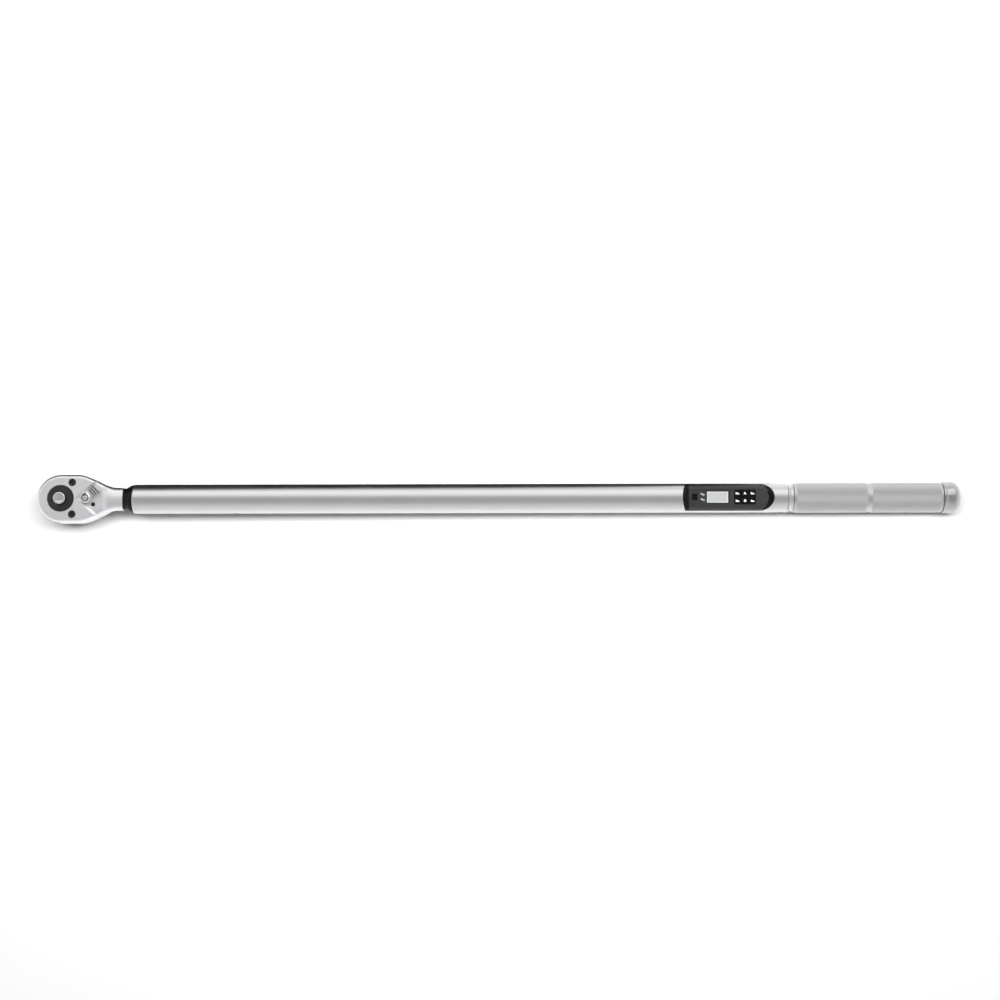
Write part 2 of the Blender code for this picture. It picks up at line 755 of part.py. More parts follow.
def make_cover_screws():
    head_low = HEAD_TOP - SCREW_RECESS_DEPTH + FIT_GAP
    head_top = head_low + SCREW_HEAD_HEIGHT
    edge = SCREW_HEAD_R * 0.1
    profile = [
        (0, head_top),
        (SCREW_HEAD_R - edge, head_top),
        (SCREW_HEAD_R, head_top - edge),
        (SCREW_HEAD_R, head_low),
        (SCREW_R, head_low),
        (SCREW_R, HEAD_LOW + FIT_GAP),
        (0, HEAD_LOW + FIT_GAP),
    ]
    for i, (x, y) in enumerate(SCREW_SPOTS):
        screw = turned(f"cover_screw_{i + 1}", profile, (x, y, 0), sides=ROUND_SMALL)
        socket = rod(
            f"hex_socket_{i + 1}",
            HEX_KEY / math.sqrt(3),
            (x, y, head_top - SCREW_HEAD_HEIGHT * 0.6),
            (x, y, head_top + PAST),
            6,
        )
        cut(screw, socket)
        give_finish(screw, BLACK_STEEL)


# ---------------------------------------------------------------- gear, pawl and lever
def gear_outline(growth=0.0):
    """The gear's outline; growth moves its flanks, tips and roots outward."""
    half_pitch = math.pi / TEETH
    root_half = half_pitch
    tip_half = half_pitch * 0.16
    flank = (root_half - tip_half) / TOOTH_DEPTH
    tip_width = growth / math.cos(math.atan(flank * ROOT_R)) / ROOT_R
    tip = TIP_R + growth
    tip_angle = tip_half + tip_width
    root = ROOT_R + growth
    root_angle = root_half + tip_width
    root += (root_angle - half_pitch) / flank
    points = []
    for tooth in range(TEETH):
        middle = 2 * half_pitch * tooth
        corners = [(root, -half_pitch), (tip, -tip_angle), (tip, tip_angle)]
        for radius, angle in corners:
            points.append(
                (radius * math.cos(middle + angle), radius * math.sin(middle + angle))
            )
    return points


def make_drive_gear():
    """The gear with its hub and the drive square below, bored for the release button."""
    gear = outline_solid("drive_gear", gear_outline(), GEAR_LOW, GEAR_TOP)
    core = turned(
        "gear_core",
        [
            (0, HUB_TOP),
            (UPPER_HUB_R - 0.0006, HUB_TOP),
            (UPPER_HUB_R, HUB_TOP - 0.0006),
            (UPPER_HUB_R, AXIS_Z),
            (LOWER_HUB_R, AXIS_Z),
            (LOWER_HUB_R, SQUARE_LENGTH),
            (0, SQUARE_LENGTH),
        ],
    )
    half = DRIVE_SQUARE / 2
    square = block("drive_square", (-half, -half, 0), (half, half, HEAD_LOW + 0.004), SQUARE_EDGE)
    join(gear, core, square)
    bore = turned(
        "button_bore",
        [
            (0, HUB_TOP + PAST),
            (BUTTON_R + FIT_GAP, HUB_TOP + PAST),
            (BUTTON_R + FIT_GAP, COUNTERBORE_Z),
            (SPRING_WELL_R, COUNTERBORE_Z),
            (SPRING_WELL_R, SPRING_FLOOR),
            (STEM_R + FIT_GAP, SPRING_FLOOR),
            (STEM_R + FIT_GAP, SQUARE_END_WALL),
            (0, SQUARE_END_WALL),
        ],
        sides=32,
    )
    ball_hole = turned(
        "ball_hole",
        [
            (0, half + PAST),
            (BALL_R * 0.91, half + PAST),
            (BALL_R * 0.91, half - 0.0004),
            (BALL_R + FIT_GAP, half - 0.0004),
            (BALL_R + FIT_GAP, STEM_R / 2),
            (0, STEM_R / 2),
        ],
        (0, 0, BALL_HEIGHT),
        ALONG_X,
        sides=16,
    )
    cut(gear, bore, ball_hole)
    return give_finish(gear, BLACK_STEEL)


def make_release_button():
    """The button and its stem; the stem's groove lets the ball in when the button is pressed."""
    top = HUB_TOP + BUTTON_RISE
    groove_r = LAND_R - 0.33 * BUTTON_TRAVEL
    profile = [
        (0, top),
        (BUTTON_R * 0.72, top),
        (BUTTON_R * 0.92, top - 0.0006),
        (BUTTON_R, top - 0.0018),
        (BUTTON_R, SKIRT_Z),
        (STEM_R, SKIRT_Z),
        (STEM_R, BALL_HEIGHT + 3 * BUTTON_TRAVEL),
        (groove_r, BALL_HEIGHT + 2.6 * BUTTON_TRAVEL),
        (groove_r, BALL_HEIGHT + BUTTON_TRAVEL),
        (LAND_R, BALL_HEIGHT),
        (LAND_R, SQUARE_END_WALL + BUTTON_TRAVEL + FIT_GAP),
        (0, SQUARE_END_WALL + BUTTON_TRAVEL + FIT_GAP),
    ]
    return give_finish(turned("release_button", profile, sides=32), BRIGHT_CHROME)


def make_release_spring():
    points = coil_points(
        RELEASE_SPRING_R, RELEASE_SPRING_LENGTH - 2 * RELEASE_WIRE_R - FIT_GAP, 5
    )
    spring = wire(
        "release_spring", points, RELEASE_WIRE_R, (0, 0, SPRING_FLOOR + RELEASE_WIRE_R + FIT_GAP)
    )
    return give_finish(spring, SPRING_STEEL)


def make_detent_ball():
    return give_finish(ball("detent_ball", BALL_R, (BALL_X, 0, BALL_HEIGHT)), PLAIN_STEEL)


def pawl_outline():
    """The pawl at mid-swing: a web round the pin, two ends for teeth, a cradle for the plunger."""
    relief = TIP_R + PAWL_RELIEF
    inner = ROOT_R - 0.0018
    heel = TIP_R + PAWL_HEEL
    upper = arc((0, 0), relief, 0.0, PAWL_INNER_ANGLE, 6)
    upper += arc((0, 0), inner, PAWL_INNER_ANGLE, PAWL_OUTER_ANGLE, 4)
    upper.append((heel * math.cos(PAWL_OUTER_ANGLE), heel * math.sin(PAWL_OUTER_ANGLE)))
    upper.append((LEVER_X - HORN_GAP, HORN_HALF))
    upper.append((LEVER_X - HORN_GAP, 0.0))
    return mirrored(upper)


def grown_gear(name, turn):
    """The gear, grown by the running clearance, as the pawl meets it after this turn."""
    gear = outline_solid(name, gear_outline(MESH_GAP), CAVITY_LOW, CAVITY_ROOF)
    pin = Vector((PAWL_PIN_X, 0))
    centre = pin + Vector((-PAWL_PIN_X * math.cos(turn), -PAWL_PIN_X * math.sin(turn)))
    gear.location = (centre.x, centre.y, gear.location.z)
    gear.rotation_euler = (0, 0, turn)
    return gear


def make_pawl():
    low = CAVITY_LOW + 2 * FIT_GAP
    high = CLIP_Z - CLIP_THICK / 2 - FIT_GAP
    pawl = outline_solid("pawl", [(x - PAWL_PIN_X, y) for x, y in pawl_outline()], low, high)
    pawl.location = (PAWL_PIN_X, 0, (low + high) / 2)
    pawl.rotation_euler = (0, 0, -PAWL_ROCK / 2)
    cradle_centre = Vector((LEVER_X - PAWL_PIN_X, 0))
    cradle_x = PAWL_PIN_X + cradle_centre.x * math.cos(PAWL_ROCK / 2)
    cradle_y = -cradle_centre.x * math.sin(PAWL_ROCK / 2)
    cradle = rod(
        "pawl_cradle",
        LEVER_SHAFT_R + NOSE_REACH + FIT_GAP,
        (cradle_x, cradle_y, HEAD_LOW),
        (cradle_x, cradle_y, HEAD_TOP),
        ROUND,
    )
    pin_hole = rod(
        "pawl_pin_hole",
        PAWL_PIN_R + FIT_GAP,
        (PAWL_PIN_X, 0, HEAD_LOW),
        (PAWL_PIN_X, 0, HEAD_TOP),
        16,
    )
    cut(
        pawl,
        grown_gear("gear_at_rest", 0.0),
        grown_gear("gear_reversed", -PAWL_ROCK),
        cradle,
        pin_hole,
    )
    return give_finish(pawl, PLAIN_STEEL)


def make_pawl_pin():
    low = HEAD_LOW + COVER_THICK / 3 + FIT_GAP
    high = CAVITY_ROOF + PAWL_PIN_DEPTH - FIT_GAP
    pin = rod("pawl_pin", PAWL_PIN_R, (PAWL_PIN_X, 0, low), (PAWL_PIN_X, 0, high), 16)
    return give_finish(pin, PLAIN_STEEL)


def place_on_lever(obj):
    """Turns an object made about the lever's own axis to where the lever stands at rest."""
    bpy.context.view_layer.update()
    rest = Matrix.Translation((LEVER_X, 0, 0)) @ Matrix.Rotation(LEVER_SWING, 4, "Z")
    obj.matrix_world = rest @ obj.matrix_world
    return obj


def make_reverse_lever():
    """Shaft, hub and thumb arm; the shaft carries the plunger that pushes the pawl."""
    lever = turned(
        "reverse_lever",
        [
            (0, LEVER_TOP + 0.0006),
            (LEVER_HUB_R * 0.5, LEVER_TOP + 0.0005),
            (LEVER_HUB_R * 0.9, LEVER_TOP),
            (LEVER_HUB_R, LEVER_TOP - 0.001),
            (LEVER_HUB_R, FLOOR_Z + FIT_GAP),
            (LEVER_SHAFT_R, FLOOR_Z + FIT_GAP),
            (LEVER_SHAFT_R, SEAL_Z + 0.0008),
            (LEVER_SHAFT_R - 0.001, SEAL_Z + 0.0008),
            (LEVER_SHAFT_R - 0.001, SEAL_Z - 0.0008),
            (LEVER_SHAFT_R, SEAL_Z - 0.0008),
            (LEVER_SHAFT_R, CLIP_Z + 0.0007),
            (LEVER_SHAFT_R - 0.0008, CLIP_Z + 0.0007),
            (LEVER_SHAFT_R - 0.0008, CLIP_Z - 0.0007),
            (LEVER_SHAFT_R, CLIP_Z - 0.0007),
            (LEVER_SHAFT_R, CAVITY_LOW + FIT_GAP),
            (0, CAVITY_LOW + FIT_GAP),
        ],
        sides=ROUND_SMALL,
    )
    half_tip = LEVER_TIP_WIDTH / 2
    upper = [(0.0, 0.0), (0.0, LEVER_HUB_R * 0.7), (LEVER_HUB_R * 1.3, LEVER_HUB_R * 0.78)]
    upper += arc((LEVER_REACH - half_tip * 0.6, half_tip * 0.4), half_tip * 0.6, math.pi / 2, 0, 5)
    upper.append((LEVER_REACH, 0.0))
    arm = outline_solid("lever_arm", mirrored(upper[1:]), ARM_LOW, LEVER_TOP - 0.0008)
    ball_pocket = rod(
        "lever_ball_pocket",
        LEVER_BALL_R + FIT_GAP,
        (LEVER_BALL_REACH, 0, FLOOR_Z),
        (LEVER_BALL_REACH, 0, LEVER_TOP - 0.0018),
        16,
    )
    plunger_hole = rod(
        "plunger_hole",
        PLUNGER_R + FIT_GAP,
        (-PAST, 0, PLUNGER_Z),
        (0.002, 0, PLUNGER_Z),
        16,
    )
    for piece in (lever, arm, ball_pocket, plunger_hole):
        place_on_lever(piece)
    join(lever, arm)
    cut(lever, ball_pocket, plunger_hole)
    return give_finish(lever, BRIGHT_CHROME)


def make_lever_fittings():
    """What turns with the lever: plunger, clip, seal, detent ball and their springs."""
    nose = LEVER_SHAFT_R + NOSE_REACH
    plunger = turned(
        "lever_plunger",
        [
            (0, nose),
            (PLUNGER_R * 0.55, nose - 0.0003),
            (PLUNGER_R, nose - 0.0012),
            (PLUNGER_R, LEVER_SHAFT_R * 0.5),
            (0, LEVER_SHAFT_R * 0.5),
        ],
        (0, 0, PLUNGER_Z),
        (0, math.radians(-90), 0),
        sides=16,
    )
    spring_points = coil_points(PLUNGER_R - 0.0004, LEVER_SHAFT_R * 0.5 + 0.0009, 3)
    plunger_spring = wire(
        "plunger_spring", spring_points, 0.00025, (-LEVER_SHAFT_R * 0.5 + 0.0006, 0, PLUNGER_Z), ALONG_X
    )
    clip = turned(
        "lever_clip",
        [
            (LEVER_SHAFT_R - 0.0005, CLIP_Z + CLIP_THICK / 2),
            (CLIP_R, CLIP_Z + CLIP_THICK / 2),
            (CLIP_R, CLIP_Z - CLIP_THICK / 2),
            (LEVER_SHAFT_R - 0.0005, CLIP_Z - CLIP_THICK / 2),
        ],
        ring=True,
        sides=ROUND_SMALL,
    )
    seal_ring = [
        (LEVER_SHAFT_R - 0.0003 + r, SEAL_Z + z)
        for r, z in arc((0, 0), SEAL_R, math.pi / 2, -3 * math.pi / 2, 6)[:-1]
    ]
    seal = turned("lever_seal", seal_ring, ring=True, sides=ROUND_SMALL)
    ball_z = FLOOR_Z + FIT_GAP + LEVER_BALL_R
    detent = ball("lever_detent_ball", LEVER_BALL_R, (LEVER_BALL_REACH, 0, ball_z))
    room = LEVER_TOP - 0.0018 - ball_z - LEVER_BALL_R
    detent_points = coil_points(LEVER_BALL_R - 0.0007, room - 0.0008, 2)
    detent_spring = wire(
        "lever_detent_spring",
        detent_points,
        0.0002,
        (LEVER_BALL_REACH, 0, ball_z + LEVER_BALL_R + 0.0004),
    )
    finishes = {
        plunger: PLAIN_STEEL,
        plunger_spring: SPRING_STEEL,
        clip: SPRING_STEEL,
        seal: RUBBER,
        detent: PLAIN_STEEL,
        detent_spring: SPRING_STEEL,
    }
    for piece, finish in finishes.items():
        place_on_lever(piece)
        give_finish(piece, finish)


# ---------------------------------------------------------------- tube and load cell
def make_neck_collar():
    rear_r = TUBE_R - 0.0008
    span = rear_r - COLLAR_FRONT_R
    rear = TUBE_START - FIT_GAP
    length = rear - COLLAR_START
    profile = [
        (INSIDE_R, TUBE_START + COLLAR_SPIGOT),
        (INSIDE_R, rear),
        (rear_r, rear),
        (rear_r, rear - length * 0.12),
    ]
    for i in range(1, 6):
        share = i / 6
        profile.append(
            (COLLAR_FRONT_R + span * (1 - ease(share)), rear - length * (0.12 + 0.8 * share))
        )
    profile += [(COLLAR_FRONT_R, COLLAR_START), (SHANK_R + FIT_GAP, COLLAR_START)]
    profile.append((SHANK_R + FIT_GAP, TUBE_START + COLLAR_SPIGOT))
    collar = turned_x("neck_collar", profile, ring=True)
    return give_finish(collar, BLACK_PLASTIC)


def make_front_bush():
    bush = tube_between(
        "front_bush", INSIDE_R, SHANK_R + FIT_GAP, BUSH_START, BUSH_START + BUSH_LENGTH
    )
    return give_finish(bush, BRONZE)


def make_main_tube():
    edge = 0.0008
    profile = [
        (TUBE_BORE_R, TUBE_END),
        (TUBE_R - edge, TUBE_END),
        (TUBE_R, TUBE_END - edge),
        (TUBE_R, TUBE_START + edge),
        (TUBE_R - edge, TUBE_START),
        (TUBE_BORE_R, TUBE_START),
    ]
    tube = turned_x("main_tube", profile, ring=True)
    opening = outline_solid(
        "panel_opening",
        panel_outline(FIT_GAP),
        AXIS_Z + PANEL_SKIRT - FIT_GAP,
        AXIS_Z + TUBE_OD,
    )
    beam_hole = rod(
        "tube_pin_hole",
        TUBE_PIN_R + FIT_GAP,
        (TUBE_PIN_X, -TUBE_OD, AXIS_Z),
        (TUBE_PIN_X, TUBE_OD, AXIS_Z),
        16,
    )
    handle_hole = rod(
        "handle_pin_hole",
        HANDLE_PIN_R + FIT_GAP,
        (HANDLE_PIN_X, -TUBE_OD, AXIS_Z),
        (HANDLE_PIN_X, TUBE_OD, AXIS_Z),
        16,
    )
    cut(tube, opening, beam_hole, handle_hole)
    return give_finish(tube, SATIN_TUBE)


def make_torque_beam():
    """Spigot in the shank, a waisted bar that bends, and a round anchor pinned in the tube."""
    beam = block(
        "torque_beam",
        (BEAM_START, -BEAM_WIDTH / 2, AXIS_Z - BEAM_HEIGHT / 2),
        (BEAM_END + 0.004, BEAM_WIDTH / 2, AXIS_Z + BEAM_HEIGHT / 2),
    )
    spigot = rod(
        "beam_spigot",
        SPIGOT_R,
        (SHANK_END - SPIGOT_LENGTH + FIT_GAP, 0, AXIS_Z),
        (BEAM_START + 0.004, 0, AXIS_Z),
    )
    anchor = rod("beam_anchor", INSIDE_R, (BEAM_END, 0, AXIS_Z), (ANCHOR_END, 0, AXIS_Z), ROUND)
    join(beam, spigot, anchor)
    for side in (1, -1):
        near = side * WAIST_WIDTH / 2
        far = side * BEAM_WIDTH
        waist = block(
            f"waist_{'left' if side > 0 else 'right'}",
            (WAIST_X - WAIST_LENGTH / 2, min(near, far), AXIS_Z - BEAM_HEIGHT),
            (WAIST_X + WAIST_LENGTH / 2, max(near, far), AXIS_Z + BEAM_HEIGHT),
        )
        cut(beam, waist)
    pin_hole = rod(
        "beam_pin_hole",
        BEAM_PIN_R + FIT_GAP,
        (BEAM_PIN_X, 0, AXIS_Z - TUBE_R),
        (BEAM_PIN_X, 0, AXIS_Z + TUBE_R),
        16,
    )
    anchor_hole = rod(
        "anchor_pin_hole",
        TUBE_PIN_R + FIT_GAP,
        (TUBE_PIN_X, -TUBE_OD, AXIS_Z),
        (TUBE_PIN_X, TUBE_OD, AXIS_Z),
        16,
    )
    lead_way = rod(
        "lead_way",
        LEAD_R + FIT_GAP,
        (BEAM_END - PAST, 0, AXIS_Z - LEAD_DROP),
        (ANCHOR_END + PAST, 0, AXIS_Z - LEAD_DROP),
        16,
    )
    cut(beam, pin_hole, anchor_hole, lead_way)
    return give_finish(beam, PLAIN_STEEL)


def make_pins():
    beam_pin = rod(
        "beam_pin",
        BEAM_PIN_R,
        (BEAM_PIN_X, 0, AXIS_Z - SHANK_R + FIT_GAP),
        (BEAM_PIN_X, 0, AXIS_Z + SHANK_R - FIT_GAP),
        16,
    )
    reach = TUBE_R - 0.0004
    tube_pin = rod(
        "tube_pin", TUBE_PIN_R, (TUBE_PIN_X, -reach, AXIS_Z), (TUBE_PIN_X, reach, AXIS_Z), 16
    )
    handle_pin = rod(
        "handle_pin",
        HANDLE_PIN_R,
        (HANDLE_PIN_X, -reach, AXIS_Z),
        (HANDLE_PIN_X, reach, AXIS_Z),
        16,
    )
    for pin in (beam_pin, tube_pin, handle_pin):
        give_finish(pin, PLAIN_STEEL)


def make_strain_gauges():
    length, thick, height = GAUGE_SIZE
    number = 1
    for side in (1, -1):
        for place_x in (-0.3, 0.3):
            x = WAIST_X + place_x * WAIST_LENGTH
            near = side * (WAIST_WIDTH / 2 + GAUGE_GAP)
            far = near + side * thick
            gauge = block(
                f"strain_gauge_{number}",
                (x - length / 2, min(near, far), AXIS_Z - height / 2),
                (x + length / 2, max(near, far), AXIS_Z + height / 2),
            )
            give_finish(gauge, FOIL_AMBER)
            number += 1


def rising_points(start_x, end_x, low, high, steps):
    """Points on a lead that eases from one height to another."""
    points = []
    for i in range(steps + 1):
        share = i / steps
        x = start_x + (end_x - start_x) * share
        points.append((x, 0.0, low + (high - low) * ease(share)))
    return points


def make_gauge_lead():
    """The lead lies along the tube's underside, then rises to its plug below the board."""
    low = AXIS_Z - LEAD_DROP
    high = BOARD_LOW - PLUG_DROP
    start = WAIST_X + WAIST_LENGTH / 2
    rise = PANEL_ROOM_START + 2 * LEAD_R
    steps = 10
    points = [(start + (rise - start) * i / steps, 0.0, low) for i in range(steps)]
    points += rising_points(rise, rise + LEAD_RISE, low, high, 12)
    lead = wire("gauge_lead", points, LEAD_R)
    plug = block(
        "gauge_plug",
        (rise + LEAD_RISE + FIT_GAP, -PLUG_HALF, high - PLUG_HALF / 2),
        (rise + LEAD_RISE + FIT_GAP + PLUG_LENGTH, PLUG_HALF, BOARD_LOW - FIT_GAP),
        FIT_GAP,
    )
    give_finish(lead, BLACK_PLASTIC)
    give_finish(plug, LIGHT_WHITE)


# ---------------------------------------------------------------- display and keys
def panel_outline(growth=0.0):
    """The panel from above: a bowed front end, straight sides and a half-round rear end."""
    half = PANEL_HALF + growth
    front = PANEL_X - growth
    round_x = PANEL_END - PANEL_HALF
    upper = []
    for i in range(7):
        share = i / 6
        upper.append((front + PANEL_BOW * (1 - math.cos(share * math.pi / 2)), half * share))
    upper += arc((round_x, 0), half, math.pi / 2, 0, 10)
    return mirrored(upper)


def flat_cutter_outline():
    """Seen from the side: the flat that the display and the keys share, with its end slopes."""
    start = PANEL_X + PANEL_BOW
    end = PANEL_END - 0.004
    top = AXIS_Z + TUBE_R + 0.001
    rise = FLAT_DEPTH + 0.001
    front = FLAT_FRONT_SLOPE * rise / FLAT_DEPTH
    rear = FLAT_REAR_SLOPE * rise / FLAT_DEPTH
    return [
        (start + FLAT_FRONT_SLOPE, FLAT_Z),
        (end - FLAT_REAR_SLOPE, FLAT_Z),
        (end - FLAT_REAR_SLOPE + rear, top),
        (start + FLAT_FRONT_SLOPE - front, top),
    ]


def centred_block(name, centre, size, low, high, rounding=0.0):
    """A box of this plan size about a centre, from height low to height high."""
    return block(
        name,
        (centre[0] - size[0] / 2, centre[1] - size[1] / 2, low),
        (centre[0] + size[0] / 2, centre[1] + size[1] / 2, high),
        rounding,
    )


def light_outline(centre, growth):
    """A small slanted bar with round ends."""
    length, width = LIGHT_SIZE
    half = width / 2 + growth
    straight = length / 2 - width / 2
    points = arc((straight, 0), half, -math.pi / 2, math.pi / 2, 6)
    points += arc((-straight, 0), half, math.pi / 2, 3 * math.pi / 2, 6)
    c = math.cos(LIGHT_TILT)
    s = math.sin(LIGHT_TILT)
    return [(centre[0] + x * c - y * s, centre[1] + x * s + y * c) for x, y in points]


def make_display_housing():
    housing = outline_solid(
        "display_housing", panel_outline(), AXIS_Z + PANEL_SKIRT, AXIS_Z + TUBE_OD
    )
    round_limit = rod(
        "panel_round", TUBE_R, (PANEL_X - PAST, 0, AXIS_Z), (PANEL_END + PAST, 0, AXIS_Z), ROUND
    )
    keep(housing, round_limit)
    flat = side_solid("panel_flat", flat_cutter_outline(), TUBE_R)
    room = block(
        "panel_room",
        (PANEL_ROOM_START, -BOARD_WIDTH / 2 - 2 * FIT_GAP, AXIS_Z - PAST),
        (PANEL_ROOM_END, BOARD_WIDTH / 2 + 2 * FIT_GAP, SHELL_Z),
    )
    room_round = rod(
        "panel_room_round",
        TUBE_R - PANEL_SHELL,
        (PANEL_X - PAST, 0, AXIS_Z),
        (PANEL_END + PAST, 0, AXIS_Z),
        ROUND,
    )
    keep(room, room_round)
    cut(housing, flat, room)
    window_centre = (PANEL_X + WINDOW_PLACE, 0)
    lip = WINDOW_LIP + FIT_GAP
    window_size = (WINDOW_SIZE[0] + 2 * lip, WINDOW_SIZE[1] + 2 * lip)
    window_low = FLAT_Z - WINDOW_THICK - FIT_GAP
    cut(
        housing,
        centred_block("window_step", window_centre, window_size, window_low, FLAT_Z + PAST),
        centred_block("window_hole", window_centre, WINDOW_SIZE, AXIS_Z, FLAT_Z + PAST),
    )
    for i, spot in enumerate(KEY_SPOTS):
        size = (KEY_SIZE[0] + 2 * FIT_GAP, KEY_SIZE[1] + 2 * FIT_GAP)
        cut(housing, centred_block(f"key_hole_{i + 1}", spot, size, AXIS_Z, FLAT_Z + PAST))
    for i, spot in enumerate(LIGHT_SPOTS):
        hole = outline_solid(
            f"light_hole_{i + 1}", light_outline(spot, FIT_GAP), AXIS_Z, FLAT_Z + 0.01
        )
        cut(housing, hole)
    for i, side in enumerate((1, 0, -1)):
        spot = (PANEL_X + BUZZER_PLACE, side * 0.0028)
        cut(housing, centred_block(f"buzzer_slot_{i + 1}", spot, BUZZER_SLOT, AXIS_Z, FLAT_Z + PAST))
    for i, (x, y) in enumerate(BOARD_SCREW_SPOTS):
        post = rod(f"board_post_{i + 1}", 0.0018, (x, y, BOARD_TOP + FIT_GAP), (x, y, FLAT_Z - 0.0006), 12)
        hole = rod(f"post_hole_{i + 1}", 0.0011, (x, y, AXIS_Z), (x, y, SHELL_Z + 0.0004), 12)
        join(housing, post)
        cut(housing, hole)
    return give_finish(housing, BLACK_PLASTIC)


def make_display():
    window_centre = (PANEL_X + WINDOW_PLACE, 0)
    window_size = (WINDOW_SIZE[0] + 2 * WINDOW_LIP, WINDOW_SIZE[1] + 2 * WINDOW_LIP)
    window_low = FLAT_Z - WINDOW_THICK
    window = centred_block(
        "display_window", window_centre, window_size, window_low, FLAT_Z - 0.0001, 0.0002
    )
    give_finish(window, CLEAR)
    lcd_size = (WINDOW_SIZE[0] + 2 * LCD_MARGIN, WINDOW_SIZE[1] + 2 * LCD_MARGIN)
    lcd_top = SHELL_Z - FIT_GAP
    lcd = centred_block("lcd_panel", window_centre, lcd_size, lcd_top - LCD_THICK, lcd_top, 0.0003)
    give_finish(lcd, LCD_GREY)
    for i, spot in enumerate(LIGHT_SPOTS):
        light = outline_solid(
            f"indicator_light_{i + 1}",
            light_outline(spot, 0.0),
            BOARD_TOP + FIT_GAP,
            FLAT_Z + 0.0001,
        )
        give_finish(light, LIGHT_WHITE)
    x = PANEL_X + BUZZER_PLACE
    buzzer = rod(
        "buzzer", BUZZER_R, (x, 0, BOARD_TOP + FIT_GAP), (x, 0, BOARD_TOP + FIT_GAP + 0.0025)
    )
    give_finish(buzzer, BLACK_PLASTIC)


def make_keys():
    for i, spot in enumerate(KEY_SPOTS):
        name = f"key_{i + 1}"
        key = centred_block(name, spot, KEY_SIZE, KEY_LOW, FLAT_Z + KEY_RISE, 0.0005)
        flange = (KEY_SIZE[0] + 2 * KEY_FLANGE, KEY_SIZE[1] + 1.6 * KEY_FLANGE)
        low = KEY_LOW + 0.0001
        foot = centred_block(name + "_foot", spot, flange, low, low + KEY_FLANGE_THICK - 0.0001)
        join(key, foot)
        give_finish(key, RUBBER)
    mat_low = BOARD_TOP + FIT_GAP
    size = (3 * KEY_PITCH[0], 2 * KEY_PITCH[1])
    mat = centred_block(
        "key_mat", (PANEL_X + KEY_PLACE, 0), size, mat_low, mat_low + MAT_THICK
    )
    dome_top = KEY_LOW - KEY_TRAVEL - FIT_GAP
    for i, (x, y) in enumerate(KEY_SPOTS):
        dome = turned(
            f"key_dome_{i + 1}",
            [(0, dome_top), (0.0016, dome_top), (0.0026, mat_low + 0.0004), (0, mat_low + 0.0004)],
            (x, y, 0),
            sides=12,
        )
        join(mat, dome)
    give_finish(mat, RUBBER)


def make_board():
    board = block(
        "main_board",
        (PANEL_ROOM_START + FIT_GAP, -BOARD_WIDTH / 2, BOARD_LOW),
        (PANEL_ROOM_END - FIT_GAP, BOARD_WIDTH / 2, BOARD_TOP),
    )
    for i, (x, y) in enumerate(BOARD_SCREW_SPOTS):
        cut(board, rod(f"board_hole_{i + 1}", 0.0011, (x, y, AXIS_Z), (x, y, FLAT_Z), 12))
        screw = turned(
            f"board_screw_{i + 1}",
            [
                (0, SHELL_Z),
                (0.0008, SHELL_Z),
                (0.0008, BOARD_LOW - FIT_GAP),
                (0.0018, BOARD_LOW - FIT_GAP),
                (0.0016, BOARD_LOW - 0.0014),
                (0, BOARD_LOW - 0.0014),
            ],
            (x, y, 0),
            sides=12,
        )
        give_finish(screw, PLAIN_STEEL)
    give_finish(board, CIRCUIT_GREEN)


# ---------------------------------------------------------------- grip, batteries, cap
def make_handle_adapter():
    ring_r = TUBE_R - NECK_RING_STEP
    profile = [
        (ADAPTER_BORE_R, ADAPTER_END),
        (GRIP_BORE_R - FIT_GAP, ADAPTER_END),
        (GRIP_BORE_R - FIT_GAP, GRIP_START - FIT_GAP),
        (ring_r, GRIP_START - FIT_GAP),
        (ring_r, TUBE_END + FIT_GAP),
        (INSIDE_R, TUBE_END + FIT_GAP),
        (INSIDE_R, ADAPTER_START),
        (ADAPTER_BORE_R, ADAPTER_START),
    ]
    adapter = turned_x("handle_adapter", profile, ring=True)
    cross_hole = rod(
        "adapter_pin_hole",
        HANDLE_PIN_R + FIT_GAP,
        (HANDLE_PIN_X, -TUBE_OD, AXIS_Z),
        (HANDLE_PIN_X, TUBE_OD, AXIS_Z),
        16,
    )
    cut(adapter, cross_hole)
    return give_finish(adapter, ALUMINIUM)


def make_grip_sleeve():
    edge = 0.0009
    band_start = GRIP_START + GRIP_BAND_PLACE - GRIP_BAND_WIDTH / 2
    band_end = band_start + GRIP_BAND_WIDTH
    low = GRIP_R - GRIP_BAND_DEPTH
    thread_start = SPIGOT_START - FIT_GAP
    profile = [
        (THREAD_R, GRIP_END),
        (GRIP_R - edge, GRIP_END),
        (GRIP_R, GRIP_END - edge),
        (GRIP_R, band_end + 0.0005),
        (low, band_end),
        (low, band_start),
        (GRIP_R, band_start - 0.0005),
        (GRIP_R, GRIP_START + edge),
        (GRIP_R - edge, GRIP_START),
        (GRIP_BORE_R, GRIP_START),
        (GRIP_BORE_R, thread_start),
        (THREAD_R, thread_start),
    ]
    return give_finish(turned_x("grip_sleeve", profile, ring=True), KNURLED_STEEL)


